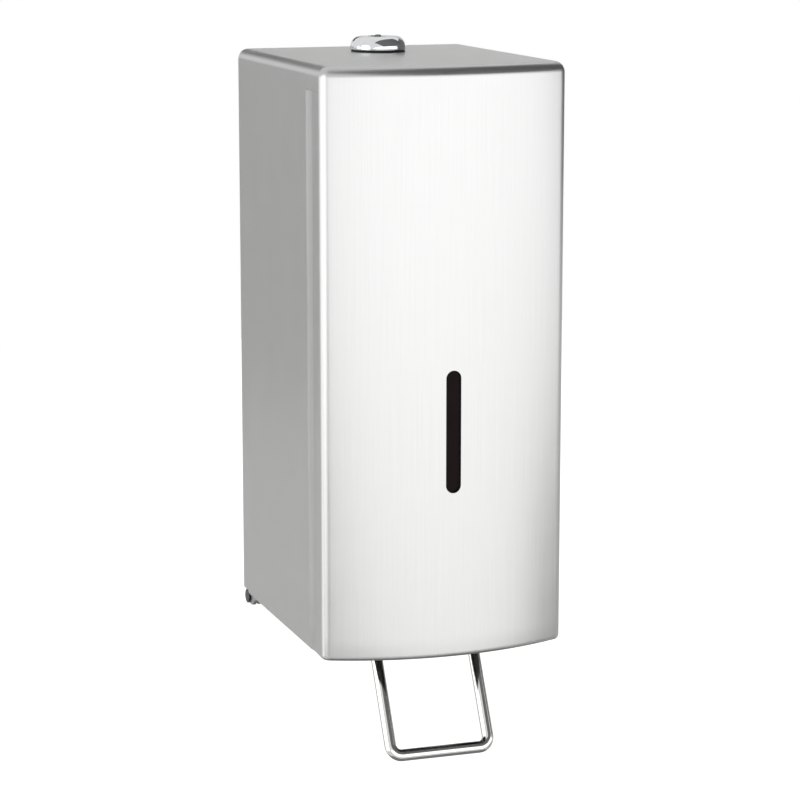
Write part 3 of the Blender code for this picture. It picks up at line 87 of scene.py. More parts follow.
# %% Camera
PHOTO_WIDTH = 800
FOCAL_PIXELS = 2750.0
SENSOR_WIDTH = 36.0
CAMERA_YAW = math.radians(18.998)
CAMERA_PITCH = math.radians(10.925)
CAMERA_PLACE = (-0.37275, -1.14598, 0.19560)

lens = bpy.data.cameras.new("photo_camera")
lens.sensor_width = SENSOR_WIDTH
lens.lens = FOCAL_PIXELS / PHOTO_WIDTH * SENSOR_WIDTH
lens.clip_start = 0.05
lens.clip_end = 60.0
camera = bpy.data.objects.new("photo_camera", lens)
camera.location = CAMERA_PLACE
camera.rotation_euler = (math.pi / 2 - CAMERA_PITCH, 0.0, -CAMERA_YAW)
bpy.context.scene.collection.objects.link(camera)
bpy.context.scene.camera = camera
print("camera lens, mm:", round(lens.lens, 2))

# %% [markdown]
# ## Colours and shader nodes
#
# Paint charts and web pages give colours as sRGB hex codes, while Blender works in linear light, so
# one function turns the first into the second.  Every material is a small tree of nodes, and one
# short function adds a node with its settings, its fixed values and its links.

# %% Colour and node helpers
def linear(code):
    """An sRGB hex code as linear red, green, blue and a full alpha."""
    parts = [int(code[index:index + 2], 16) / 255 for index in (1, 3, 5)]
    return tuple(p / 12.92 if p <= 0.04045 else ((p + 0.055) / 1.055) ** 2.4
                 for p in parts) + (1.0,)


def add_node(tree, kind, settings=None, values=None, links=None):
    """One node: its settings by name, then its sockets' fixed values and links."""
    node = tree.nodes.new(kind)
    for name, value in (settings or {}).items():
        setattr(node, name, value)
    for socket, value in (values or {}).items():
        node.inputs[socket].default_value = value
    for socket, source in (links or {}).items():
        tree.links.new(source, node.inputs[socket])
    return node


# %% [markdown]
# ## Finishes
#
# Real surfaces differ more in how rough they are than in their colour.  Each finish here starts
# from a plain shader and gets a grain: a noise texture that is stretched to the size of the real
# marks, such as brushing lines or the orange peel of moulded plastic.  The grain moves the colour
# and the roughness a little and lifts the surface by a few thousandths of a millimetre.

# %% Function that makes a finish
CLOUD_SIZE = 14.0
CLOUD_SHARE = 0.35
CLOUD_DETAIL = 2.0
MARK_DETAIL = 3.0
MARK_ROUGHNESS = 0.6
NOISE_LOW = 0.3
NOISE_HIGH = 0.7


def surface(name, low, high, roughness, grain, lift, metallic=0.0, uv="", **fixed):
    """A material from two shades, a roughness range, the grain's size in mm and its lift in mm."""
    material = bpy.data.materials.new(name)
    material.use_nodes = True
    tree = material.node_tree
    shader = tree.nodes["Principled BSDF"]
    if uv:
        place = add_node(tree, "ShaderNodeUVMap", {"uv_map": uv}).outputs["UV"]
    else:
        place = add_node(tree, "ShaderNodeTexCoord").outputs["Object"]
    stretch = [1.0 / (size * MM) for size in grain]
    fine = add_node(tree, "ShaderNodeMapping", None, {"Scale": stretch}, {"Vector": place})
    marks = add_node(tree, "ShaderNodeTexNoise", None,
                     {"Scale": 1.0, "Detail": MARK_DETAIL, "Roughness": MARK_ROUGHNESS},
                     {"Vector": fine.outputs["Vector"]})
    clouds = add_node(tree, "ShaderNodeTexNoise", None,
                      {"Scale": 1.0 / (CLOUD_SIZE * MM), "Detail": CLOUD_DETAIL},
                      {"Vector": place})
    both = add_node(tree, "ShaderNodeMath", {"operation": "MULTIPLY_ADD"}, {1: CLOUD_SHARE},
                    {0: clouds.outputs["Fac"], 2: marks.outputs["Fac"]})
    span = {"From Min": NOISE_LOW + CLOUD_SHARE / 2, "From Max": NOISE_HIGH + CLOUD_SHARE / 2}
    rough = add_node(tree, "ShaderNodeMapRange", None,
                     {**span, "To Min": roughness[0], "To Max": roughness[1]},
                     {"Value": both.outputs[0]})
    share = add_node(tree, "ShaderNodeMapRange", None, span, {"Value": both.outputs[0]})
    shade = add_node(tree, "ShaderNodeMix", {"data_type": "RGBA"},
                     {"A": linear(low), "B": linear(high)}, {"Factor": share.outputs[0]})
    bump = add_node(tree, "ShaderNodeBump", None, {"Strength": 1.0, "Distance": lift * MM},
                    {"Height": marks.outputs["Fac"]})
    tree.links.new(shade.outputs["Result"], shader.inputs["Base Color"])
    tree.links.new(rough.outputs[0], shader.inputs["Roughness"])
    tree.links.new(bump.outputs["Normal"], shader.inputs["Normal"])
    shader.inputs["Metallic"].default_value = metallic
    for socket, value in fixed.items():
        shader.inputs[socket.replace("_", " ")].default_value = value
    if uv:
        along = add_node(tree, "ShaderNodeTangent", {"direction_type": "UV_MAP", "uv_map": uv})
        tree.links.new(along.outputs["Tangent"], shader.inputs["Tangent"])
    print("finish:", name)
    return material


# %% [markdown]
# The dispenser's finishes, from the outside in.  Steel is brushed on the cover and left as rolled
# inside.  A metal keeps Blender's default index of refraction, and its colour is what it reflects.

# %% Metals
# Brushed with a fine belt: the lines run up the sheet, so light spreads sideways.  Real lines are
# about 0.1 mm apart, too fine for this view, so they are drawn 0.6 mm apart.
satin_steel = surface("satin_stainless_steel_brushed", "#B7B7B7", "#BCBCBC", (0.29, 0.34),
                      (0.6, 60.0, 1.0), 0.0006, metallic=1.0, uv="brushing", Anisotropic=0.4)
# Cold rolled sheet with no brushing: an even, greyer, cloudy shine.
rolled_steel = surface("stainless_steel_cold_rolled", "#9FA1A1", "#ADAFAF", (0.36, 0.48),
                       (1.2, 1.2, 1.2), 0.001, metallic=1.0)
# Zinc plated and passivated: a slightly blue, soft shine on screws and nuts.
zinc_plate = surface("zinc_plated_steel", "#A4A9AD", "#B8BCBF", (0.26, 0.40),
                     (0.8, 0.8, 0.8), 0.002, metallic=1.0)
# Chrome plate over polished brass: a mirror, with very faint wipe marks.
chrome = surface("chrome_plate_polished", "#D2D4D6", "#DADCDE", (0.04, 0.08),
                 (3.0, 3.0, 3.0), 0.0004, metallic=1.0)
# Zinc, as cast: a darker, softer grey, used for the plug inside the lock.
cast_zinc = surface("zinc_die_cast", "#6E7073", "#7C7E81", (0.35, 0.48),
                    (0.7, 0.7, 0.7), 0.003, metallic=1.0)
# Wire that is drawn and then polished: nearly a mirror, with faint lines along it.
polished_wire = surface("stainless_wire_polished", "#CFCFCD", "#D8D8D6", (0.07, 0.13),
                        (0.8, 0.8, 12.0), 0.0006, metallic=1.0)
# Spring wire, drawn and heat treated: brighter than the plate and a little straw coloured.
spring_steel = surface("spring_steel_drawn", "#A9A69E", "#BBB8B0", (0.22, 0.32),
                       (0.5, 0.5, 4.0), 0.001, metallic=1.0)

# %% Plastics and rubber
# Blow moulded polyethylene with no pigment: milky, and light goes a little way into it.
milky_polyethylene = surface("polyethylene_natural_blow_moulded", "#D3D5D1", "#D8DAD6",
                             (0.36, 0.44), (6.0, 6.0, 6.0), 0.02,
                             Subsurface_Weight=0.25, Subsurface_Scale=0.004, IOR=1.51)
# Injection moulded acetal, a hard slippery plastic: smooth, with a faint satin texture.
white_acetal = surface("acetal_white_moulded", "#D6D6D2", "#DEDEDA", (0.28, 0.38),
                       (0.9, 0.9, 0.9), 0.003, IOR=1.48)
# The same plastic with soot in it, for the rocker.
black_acetal = surface("acetal_black_moulded", "#18191A", "#222324", (0.32, 0.44),
                       (0.9, 0.9, 0.9), 0.003, IOR=1.48)
# Nitrile rubber: matt, with a fine bloom on it.
black_rubber = surface("nitrile_rubber_black", "#121212", "#1E1E1E", (0.60, 0.75),
                       (1.5, 1.5, 1.5), 0.006, IOR=1.52)
# Silicone rubber, as moulded: cloudy and soft.
clear_silicone = surface("silicone_translucent_moulded", "#C9CCC6", "#D6D8D2", (0.40, 0.55),
                         (1.5, 1.5, 1.5), 0.004,
                         Subsurface_Weight=0.2, Subsurface_Scale=0.002, IOR=1.43)
# Smoked acrylic: it lets a little light through towards the tank, and from outside it looks nearly
# black with a trace of red.  That near black is partly its own tint and partly painted shade of the
# dark space behind it.  It sits behind a narrow slot, and its shine is kept low as painted shade.
smoked_acrylic = surface("acrylic_smoked_with_painted_shade", "#0D0304", "#130506", (0.10, 0.16),
                         (8.0, 8.0, 8.0), 0.001, IOR=1.49, Specular_IOR_Level=0.06)

# %% [markdown]
# ## Which CAD piece has which finish
#
# The record gives each piece a material slot, so the list of finishes is kept by slot.  A piece
# that is modelled again below takes its finish by the same list.

# %% Finish the CAD pieces by slot
FINISH_OF_SLOT = {
    "satin_steel": satin_steel, "plain_steel": rolled_steel, "zinc_plate": zinc_plate,
    "chrome_plate": chrome, "polished_wire": polished_wire, "black_rubber": black_rubber,
    "silicone": clear_silicone, "natural_polyethylene": milky_polyethylene,
    "white_acetal": white_acetal, "black_acetal": black_acetal, "smoked_acrylic": smoked_acrylic,
}
slot_of_node = {row["node"]: row["material_slot"] for row in frame["record"]["subparts"]}
for name, node in frame["nodes"].items():
    finish = FINISH_OF_SLOT[slot_of_node[name]]
    for place in node.material_slots:
        place.material = finish
print("finished CAD pieces:", len(slot_of_node))


# %% [markdown]
# ## Helpers for new pieces
#
# A new piece is a bmesh, shaped by Blender's own operators, that becomes an object at the origin.
# It rides on one of the CAD bodies, so it moves with them at every pose.

# %% Piece helpers
WELD = 0.002 * MM


def finish_piece(shape, name, body, slot, stands_for, finish=None, sharp=35.0):
    """Turns a bmesh into a shaded object that rides on a body and stands for CAD pieces."""
    bmesh.ops.remove_doubles(shape, verts=shape.verts, dist=WELD)
    mesh = bpy.data.meshes.new(name)
    shape.to_mesh(mesh)
    shape.free()
    mesh.materials.append(finish or FINISH_OF_SLOT[slot])
    mesh.shade_smooth()
    mesh.set_sharp_from_angle(angle=math.radians(sharp))
    piece = bpy.data.objects.new(name, mesh)
    bpy.context.scene.collection.objects.link(piece)
    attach(piece, body)
    if stands_for:
        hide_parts(*stands_for)
    print(name, "faces:", len(mesh.polygons))
    return piece


def chain(shape, points):
    """A run of edges through the points."""
    verts = [shape.verts.new(point) for point in points]
    return verts, [shape.edges.new(pair) for pair in zip(verts, verts[1:])]


def spun(profile, centre, steps=64):
    """A turned shape: (radius, height) points, from top to bottom, spun round the upright axis."""
    shape = bmesh.new()
    verts, edges = chain(shape, [Vector((radius, 0.0, height)) for radius, height in profile])
    bmesh.ops.spin(shape, geom=verts + edges, cent=(0.0, 0.0, 0.0), axis=(0.0, 0.0, 1.0),
                   angle=math.tau, steps=steps, use_merge=True)
    bmesh.ops.remove_doubles(shape, verts=shape.verts, dist=WELD)
    bmesh.ops.recalc_face_normals(shape, faces=shape.faces)
    bmesh.ops.translate(shape, vec=centre, verts=shape.verts)
    return shape


# %% [markdown]
# ## Cover
#
# The cover is one sheet of 1 mm steel: a bowed front, two sides folded back from it and a flat top.
# A press would fold it and a weld would close the top corners.  Here half of its outline is drawn
# from the rear edge round the front, raised, capped and rounded, and then mirrored.

# %% Cover sizes
cover_low, cover_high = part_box("cover_shell")
HALF_WIDTH = cover_high.x
BACK = cover_high.y
APEX = cover_low.y
TOP = cover_high.z
BOTTOM = cover_low.z
SHEET = 1.0 * MM
CORNER = 5.0 * MM
RIM = 4.5 * MM
RIM_STEPS = 8
BOW = 11.2 * MM
FRONT_RADIUS = (HALF_WIDTH ** 2 + BOW ** 2) / (2 * BOW)
front_centre = Vector((0.0, APEX + FRONT_RADIUS, BOTTOM))
corner_x = HALF_WIDTH - CORNER
corner_y = front_centre.y - math.sqrt((FRONT_RADIUS - CORNER) ** 2 - corner_x ** 2)
front_half_angle = math.asin(corner_x / (FRONT_RADIUS - CORNER))
CORNER_STEPS = 10
FRONT_STEPS = 40
print("front radius, mm:", round(FRONT_RADIUS / MM, 1),
      "half angle:", round(math.degrees(front_half_angle), 1))

# %% [markdown]
# A shallow seam runs down each side, a little behind the front corner.  There the sheet steps in by
# 1.4 mm, and it comes out again at the corner.  The step ends 10 mm below the top and is shallower
# near the lower edge.  That edge is curled inwards, so that it doesn't cut hands.
# The rows of points at the ends of the seam and of the slot keep the shading flat between them.

# %% Cover outline and walls
SEAM_Y = -99.4 * MM
SEAM_ROUND = 0.5 * MM
SEAM_MARGIN = 1.5 * MM
DIP_Y = -104.0 * MM
DIP_DEPTH = 1.4 * MM
SEAM_TOP = TOP - 10.0 * MM
SEAM_FADE = 0.3 * MM
SEAM_END = 9.0 * MM
SEAM_END_SHARE = 0.3
CURL = 2.6 * MM
CURL_ANGLE = math.radians(44)
CURL_STEPS = 5
SLOT_WIDTH = 6.4 * MM
SLOT_HEIGHT = 50.3 * MM
SLOT_MIDDLE = -26.5 * MM
SLOT_MARGIN = 1.2 * MM
NEAR = SHEET / 10


def half_outline(shape):
    """The left half of the cover's lower edge, from the rear to the middle of the front."""
    left = -HALF_WIDTH
    eased = SEAM_ROUND * DIP_DEPTH / (SEAM_Y - DIP_Y)
    along = [(left, BACK), (left, SEAM_Y + SEAM_MARGIN), (left, SEAM_Y + SEAM_ROUND),
             (left + eased, SEAM_Y - SEAM_ROUND), (left + DIP_DEPTH - eased, DIP_Y + SEAM_ROUND),
             (left + DIP_DEPTH - eased, DIP_Y - SEAM_ROUND), (left, corner_y)]
    verts, edges = chain(shape, [(x, y, BOTTOM) for x, y in along])
    last = verts[-1:]
    turns = (((-corner_x, corner_y, BOTTOM), math.pi / 2 - front_half_angle, CORNER_STEPS),
             (front_centre, front_half_angle, FRONT_STEPS))
    for centre, angle, steps in turns:
        made = bmesh.ops.spin(shape, geom=last, cent=centre, axis=(0.0, 0.0, 1.0), angle=angle,
                              steps=steps)
        last = [part for part in made["geom_last"] if isinstance(part, bmesh.types.BMVert)]


def raise_walls(shape, levels):
    """Extrudes the outline's edges from one level to the next and gives back the highest edges."""
    ring = shape.edges[:]
    height = BOTTOM
    for level in levels:
        grown = bmesh.ops.extrude_edge_only(shape, edges=ring)["geom"]
        ring = [part for part in grown if isinstance(part, bmesh.types.BMEdge)]
        fresh = [part for part in grown if isinstance(part, bmesh.types.BMVert)]
        bmesh.ops.translate(shape, vec=(0.0, 0.0, level - height), verts=fresh)
        ring = [edge for edge in ring if all(vert in fresh for vert in edge.verts)]
        height = level
    return ring


def half_cover():
    """The left half of the cover's outer skin."""
    shape = bmesh.new()
    half_outline(shape)
    curl_top = BOTTOM + CURL * math.sin(CURL_ANGLE)
    curls = [CURL_ANGLE * step / CURL_STEPS for step in range(CURL_STEPS - 1, -1, -1)]
    levels = [curl_top - CURL * math.sin(angle) for angle in curls]
    slot_reach = SLOT_HEIGHT / 2 + SLOT_MARGIN
    levels += [BOTTOM + SEAM_END, SLOT_MIDDLE - slot_reach, SLOT_MIDDLE + slot_reach]
    levels += [SEAM_TOP - SEAM_MARGIN, SEAM_TOP, SEAM_TOP + SEAM_FADE, TOP]
    rim_edges = raise_walls(shape, levels)
    bmesh.ops.recalc_face_normals(shape, faces=shape.faces)
    shape.normal_update()
    for vert in shape.verts:
        if vert.co.y > corner_y + NEAR:
            high = vert.co.z > SEAM_TOP + SEAM_FADE / 2
            low = vert.co.z < BOTTOM + SEAM_END / 2
            share = 0.0 if high else SEAM_END_SHARE if low else 1.0
            vert.co.x = -HALF_WIDTH + share * (vert.co.x + HALF_WIDTH)
        drop = max(curl_top - vert.co.z, 0.0)
        vert.co -= vert.normal * (CURL - math.sqrt(CURL ** 2 - drop ** 2))
    middle = shape.verts.new((0.0, BACK, TOP))
    rim_verts = list({vert for edge in rim_edges for vert in edge.verts})
    rear = min(rim_verts, key=lambda vert: (-round(vert.co.y, 5), vert.co.x))
    front = min(rim_verts, key=lambda vert: vert.co.y)
    back_edge = shape.edges.new((rear, middle))
    middle_edge = shape.edges.new((middle, front))
    bmesh.ops.contextual_create(shape, geom=rim_edges + [back_edge, middle_edge])
    bmesh.ops.bevel(shape, geom=rim_edges, offset=RIM, offset_type="OFFSET", segments=RIM_STEPS,
                    profile=0.5, affect="EDGES", material=-1, clamp_overlap=False)
    return shape


# %% [markdown]
# The sheet gets its thickness on the inside, so that the outer sizes stay as measured.  Then the
# openings are punched out: the sight slot with its round ends, the hole for the lock and the two
# notches for the hinges.  A Boolean with plain cutters does what the punch does.

# %% Cover openings
LOCK_PLACE = Vector((0.0, -34.6 * MM, 0.0))
LOCK_HOLE = 9.5 * MM
NOTCH_FRONT = -8.0 * MM
NOTCH_TOP = -118.0 * MM
SLOT_STEPS = 16
LOCK_HOLE_STEPS = 36
PUNCH_REACH = 4 * SHEET


def prism(shape, outline, sweep):
    """A closed prism: a flat outline swept by a vector."""
    face = shape.faces.new([shape.verts.new(point) for point in outline])
    grown = bmesh.ops.extrude_face_region(shape, geom=[face], use_keep_orig=True)["geom"]
    fresh = [part for part in grown if isinstance(part, bmesh.types.BMVert)]
    bmesh.ops.translate(shape, vec=sweep, verts=fresh)


def arc_points(centre, radius, start, end, steps, across, up):
    """Points on an arc in the plane of two directions; the angles are in degrees."""
    angles = [math.radians(start + (end - start) * step / steps) for step in range(steps + 1)]
    return [centre + across * (radius * math.cos(a)) + up * (radius * math.sin(a)) for a in angles]


def cover_cutter():
    """The punches for the slot, the lock and the two hinge notches."""
    shape = bmesh.new()
    across, depth, up = Vector((1.0, 0.0, 0.0)), Vector((0.0, 1.0, 0.0)), Vector((0.0, 0.0, 1.0))
    half = SLOT_HEIGHT / 2 - SLOT_WIDTH / 2
    start = Vector((0.0, APEX - SHEET, SLOT_MIDDLE))
    upper = arc_points(start + up * half, SLOT_WIDTH / 2, 0, 180, SLOT_STEPS, across, up)
    lower = arc_points(start - up * half, SLOT_WIDTH / 2, 180, 360, SLOT_STEPS, across, up)
    prism(shape, upper + lower, depth * PUNCH_REACH)
    hole = arc_points(LOCK_PLACE + up * (TOP - PUNCH_REACH), LOCK_HOLE, 0,
                      360 - 360 / LOCK_HOLE_STEPS, LOCK_HOLE_STEPS - 1, across, depth)
    prism(shape, hole, up * (PUNCH_REACH + 2 * SHEET))
    for side in (-1, 1):
        near, far = side * (HALF_WIDTH - 3 * SHEET), side * (HALF_WIDTH + SHEET)
        notch = [(near, NOTCH_FRONT), (far, NOTCH_FRONT), (far, BACK + SHEET), (near, BACK + SHEET)]
        prism(shape, [Vector((x, y, BOTTOM - SHEET)) for x, y in notch],
              up * (NOTCH_TOP - BOTTOM + SHEET))
    bmesh.ops.recalc_face_normals(shape, faces=shape.faces)
    return shape


def loose_object(shape, name):
    """A bmesh as an object that isn't a piece yet."""
    mesh = bpy.data.meshes.new(name)
    shape.to_mesh(mesh)
    shape.free()
    holder = bpy.data.objects.new(name, mesh)
    bpy.context.scene.collection.objects.link(holder)
    return holder


def shaped_by_modifiers(holder, cutter=None, thickness=0.0, solver="EXACT"):
    """Applies a Solidify and a Boolean to a loose object and gives the result as a bmesh."""
    if thickness:
        wall = holder.modifiers.new("sheet", "SOLIDIFY")
        wall.thickness = thickness
        wall.offset = -1.0
        wall.use_even_offset = True
    if cutter:
        punch = holder.modifiers.new("openings", "BOOLEAN")
        punch.operation = "DIFFERENCE"
        punch.solver = solver
        punch.object = cutter
    bpy.context.view_layer.update()
    result = holder.evaluated_get(bpy.context.evaluated_depsgraph_get())
    shape = bmesh.new()
    shape.from_mesh(result.to_mesh())
    result.to_mesh_clear()
    for used in filter(None, (holder, cutter)):
        bpy.data.objects.remove(used)
    return shape


# %% Brushing map
FLAT_NORMAL = 0.7
WRAP = 1.2


def add_brushing_map(shape):
    """A UV map in metres: across the brushing lines first, then along them."""
    layer = shape.loops.layers.uv.new("brushing")
    middle_y = (BACK + APEX) / 2
    for face in shape.faces:
        flat = abs(face.normal.z) > FLAT_NORMAL
        for loop in face.loops:
            x, y, z = loop.vert.co
            around = math.atan2(x, middle_y - y) * HALF_WIDTH * WRAP
            loop[layer].uv = (x, y) if flat else (around, z)


# %% Cover
shell = half_cover()
bmesh.ops.mirror(shell, geom=shell.verts[:] + shell.edges[:] + shell.faces[:],
                 merge_dist=WELD, axis="X")
bmesh.ops.remove_doubles(shell, verts=shell.verts, dist=WELD)
bmesh.ops.recalc_face_normals(shell, faces=shell.faces)
shell = shaped_by_modifiers(loose_object(shell, "sheet"),
                            loose_object(cover_cutter(), "punch"), SHEET)
add_brushing_map(shell)
finish_piece(shell, "cover_sheet", "cover", "satin_steel", ["cover_shell"], sharp=40.0)

# %% [markdown]
# ## Lock
#
# The lock on top is a chromed button with a flat top and a rounded shoulder.  It takes a tubular
# key: a ring shaped slot round a small post.  Turned parts like this are a profile spun round an
# axis, just as a lathe makes them.

# %% Lock
BUTTON_RADIUS = 11.8 * MM
BUTTON_FLAT = 7.6 * MM
BUTTON_BASE = 120.8 * MM
BUTTON_TOP = 126.3 * MM
BUTTON_EDGE = 0.9 * MM
BUTTON_CHAMFER = 0.3 * MM
BUTTON_FOOT = 0.2 * MM
BORE = 4.2 * MM
PLUG_RADIUS = 3.9 * MM
PLUG_FACE = 124.7 * MM
POST_RADIUS = 1.3 * MM
POST_TOP = 126.9 * MM
KEY_SLOT_RADIUS = 2.9 * MM
KEY_SLOT_DEPTH = 3.5 * MM
BODY_RADIUS = 9.2 * MM
BODY_END = 104.5 * MM
BODY_PLAIN = 6.0 * MM
PLUG_END = 103.8 * MM
PLUG_CHAMFER = 0.1 * MM
THREAD_PITCH = 1.25 * MM
THREAD_DEPTH = 0.5 * MM
SHOULDER_STEPS = 14
LOCK_STEPS = 96
GASKET_RADIUS = 11.5 * MM
GASKET_HOLE = 9.7 * MM
GASKET_LIP = 0.2 * MM
GASKET_GAP_BELOW = 0.03 * MM
GASKET_GAP_ABOVE = 0.02 * MM


def button_profile():
    """The chromed button and the threaded body under it, from the bore outwards and down."""
    points = [(BORE, BODY_END), (BORE, BUTTON_TOP - BUTTON_CHAMFER),
              (BORE + BUTTON_CHAMFER, BUTTON_TOP)]
    fall = BUTTON_TOP - BUTTON_BASE - BUTTON_EDGE
    for step in range(SHOULDER_STEPS + 1):
        turn = math.pi / 2 * step / SHOULDER_STEPS
        points.append((BUTTON_FLAT + (BUTTON_RADIUS - BUTTON_FLAT) * math.sin(turn),
                       BUTTON_TOP - fall * (1 - math.cos(turn))))
    points += [(BUTTON_RADIUS, BUTTON_BASE + BUTTON_FOOT),
               (BUTTON_RADIUS - BUTTON_FOOT, BUTTON_BASE), (BODY_RADIUS, BUTTON_BASE)]
    height = BUTTON_BASE - BODY_PLAIN
    points.append((BODY_RADIUS, height))
    while height - THREAD_PITCH > BODY_END:
        points += [(BODY_RADIUS - THREAD_DEPTH, height - THREAD_PITCH / 2),
                   (BODY_RADIUS, height - THREAD_PITCH)]
        height -= THREAD_PITCH
    return points + [(BODY_RADIUS - THREAD_DEPTH, BODY_END), (BORE, BODY_END)]


def plug_profile():
    """The plug that the key turns: post, ring shaped key slot, rim and shank."""
    slot_floor = PLUG_FACE - KEY_SLOT_DEPTH
    return [(0.0, POST_TOP), (POST_RADIUS - BUTTON_CHAMFER, POST_TOP),
            (POST_RADIUS, POST_TOP - BUTTON_CHAMFER), (POST_RADIUS, slot_floor),
            (KEY_SLOT_RADIUS, slot_floor), (KEY_SLOT_RADIUS, PLUG_FACE - PLUG_CHAMFER),
            (KEY_SLOT_RADIUS + PLUG_CHAMFER, PLUG_FACE), (PLUG_RADIUS - PLUG_CHAMFER, PLUG_FACE),
            (PLUG_RADIUS, PLUG_FACE - PLUG_CHAMFER), (PLUG_RADIUS, PLUG_END), (0.0, PLUG_END)]


def gasket_profile():
    """The black rubber washer under the button, with a rounded lip; its black is partly painted
    shade.
    """
    low, high = TOP + GASKET_GAP_BELOW, BUTTON_BASE - GASKET_GAP_ABOVE
    return [(GASKET_HOLE, high), (GASKET_RADIUS - GASKET_LIP, high),
            (GASKET_RADIUS, (low + high) / 2), (GASKET_RADIUS - GASKET_LIP, low),
            (GASKET_HOLE, low), (GASKET_HOLE, high)]


# The washer sits in under the button's rim with almost no gap: its black is partly its own colour
# and partly painted shade, the dark line of that gap.
finish_piece(spun(gasket_profile(), LOCK_PLACE, LOCK_STEPS), "lock_gasket_with_painted_gap_shade", "cover",
             "black_rubber", ["lock_gasket"])
finish_piece(spun(button_profile(), LOCK_PLACE, LOCK_STEPS), "lock_button", "cover",
             "chrome_plate", ["lock_housing"], sharp=30.0)
finish_piece(spun(plug_profile(), LOCK_PLACE), "lock_plug_face", "lock_core", "chrome_plate",
             ["lock_plug"], finish=cast_zinc, sharp=30.0)

# %% [markdown]
# ## Bail
#
# The bail is one length of 5 mm polished wire, bent twice and held in the rocker at both ends.
# A circle is pushed along straight stretches and swung round the bends, as the wire is in a bender.

# %% Bail
WIRE_RADIUS = 2.5 * MM
WIRE_SIDES = 32
LEG_X = 21.5 * MM
BEND = 4.5 * MM
BEND_STEPS = 12
REACH = 75.7 * MM
LEG_START = 6.3 * MM
BAIL_TILT = math.radians(28.4)
AXLE = Vector((0.0, -79.6 * MM, -98.0 * MM))


def push(shape, ring, vector):
    """Extrudes the ring of a tube by a vector and gives back the new ring."""
    grown = bmesh.ops.extrude_edge_only(shape, edges=ring)["geom"]
    fresh = [part for part in grown if isinstance(part, bmesh.types.BMVert)]
    bmesh.ops.translate(shape, vec=vector, verts=fresh)
    known = set(fresh)
    return [part for part in grown
            if isinstance(part, bmesh.types.BMEdge) and known.issuperset(part.verts)]


def swing(shape, ring, centre, axis, angle, steps):
    """Swings the ring of a tube round an axis and gives back the last ring."""
    verts = list({vert for edge in ring for vert in edge.verts})
    last = bmesh.ops.spin(shape, geom=verts + ring, cent=centre, axis=axis, angle=angle,
                          steps=steps)["geom_last"]
    return [part for part in last if isinstance(part, bmesh.types.BMEdge)]


def bent_wire():
    """The bail, drawn upright under the axle and then tilted towards the front."""
    shape = bmesh.new()
    start = Matrix.Translation((-LEG_X, 0.0, -LEG_START))
    verts = bmesh.ops.create_circle(shape, segments=WIRE_SIDES, radius=WIRE_RADIUS,
                                    matrix=start)["verts"]
    ring = list({edge for vert in verts for edge in vert.link_edges})
    first = ring
    leg = REACH - BEND - LEG_START
    ring = push(shape, ring, (0.0, 0.0, -leg))
    for side in (-1, 1):
        centre = (side * (LEG_X - BEND), 0.0, BEND - REACH)
        ring = swing(shape, ring, centre, (0.0, 1.0, 0.0), -math.pi / 2, BEND_STEPS)
        ring = push(shape, ring, (2 * (LEG_X - BEND), 0.0, 0.0) if side < 0 else (0.0, 0.0, leg))
    for end in (first, ring):
        bmesh.ops.contextual_create(shape, geom=end)
    bmesh.ops.recalc_face_normals(shape, faces=shape.faces)
    bmesh.ops.rotate(shape, verts=shape.verts, matrix=Matrix.Rotation(-BAIL_TILT, 3, "X"))
    bmesh.ops.translate(shape, verts=shape.verts, vec=AXLE)
    return shape


finish_piece(bent_wire(), "bail_polished_wire", "bail", "polished_wire", ["bail_wire"])

# %% [markdown]
# ## Return spring
#
# The spring is wound from 1.2 mm wire.  Its end turns lie close together and the others are open.
# It gets shorter as the plunger rises, but here it is wound at one length and gets a mesh of its
# own.

# %% Return spring
PUMP = Vector((0.0, -60.0 * MM, 0.0))
COIL_RADIUS = 6.2 * MM
COIL_WIRE = 0.6 * MM
COIL_SIDES = 10
COIL_TOP = -79.2 * MM
COIL_BOTTOM = -98.35 * MM
CLOSED_TURNS = 0.75
OPEN_TURNS = 3.5
TURN_STEPS = 40


def wound_spring():
    """A helix from the top down: a closed end, open turns and the other closed end."""
    shape = bmesh.new()
    place = Matrix.Translation(PUMP + Vector((COIL_RADIUS, 0.0, COIL_TOP - COIL_WIRE)))
    verts = bmesh.ops.create_circle(shape, segments=COIL_SIDES, radius=COIL_WIRE,
                                    matrix=place @ Matrix.Rotation(math.pi / 2, 4, "X"))["verts"]
    ring = list({edge for vert in verts for edge in vert.link_edges})
    first = ring
    closed_drop = CLOSED_TURNS * 2 * COIL_WIRE
    open_drop = COIL_TOP - COIL_BOTTOM - 2 * COIL_WIRE - 2 * closed_drop
    end_turn = (CLOSED_TURNS, closed_drop)
    for turns, drop in (end_turn, (OPEN_TURNS, open_drop), end_turn):
        steps = round(turns * TURN_STEPS)
        verts = list({vert for edge in ring for vert in edge.verts})
        last = bmesh.ops.spin(shape, geom=verts + ring, cent=PUMP, axis=(0.0, 0.0, 1.0),
                              angle=turns * math.tau, dvec=(0.0, 0.0, -drop / steps),
                              steps=steps)["geom_last"]
        ring = [part for part in last if isinstance(part, bmesh.types.BMEdge)]
    for end in (first, ring):
        bmesh.ops.contextual_create(shape, geom=end)
    bmesh.ops.recalc_face_normals(shape, faces=shape.faces)
    return shape


spring = finish_piece(wound_spring(), "return_spring_coil", "wall_unit", "plain_steel",
                      ["return_spring"], finish=spring_steel, sharp=60.0)
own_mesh(spring)

# %% [markdown]
# ## Tank
#
# The tank is a blow moulded bottle with rounded edges.  Two halves of a mould leave a fine ridge
# where they meet, all round the middle.  A box is rounded, cut along that line and lifted there.
# Then it gets its wall and its two openings: one for the pump and one under the lid.

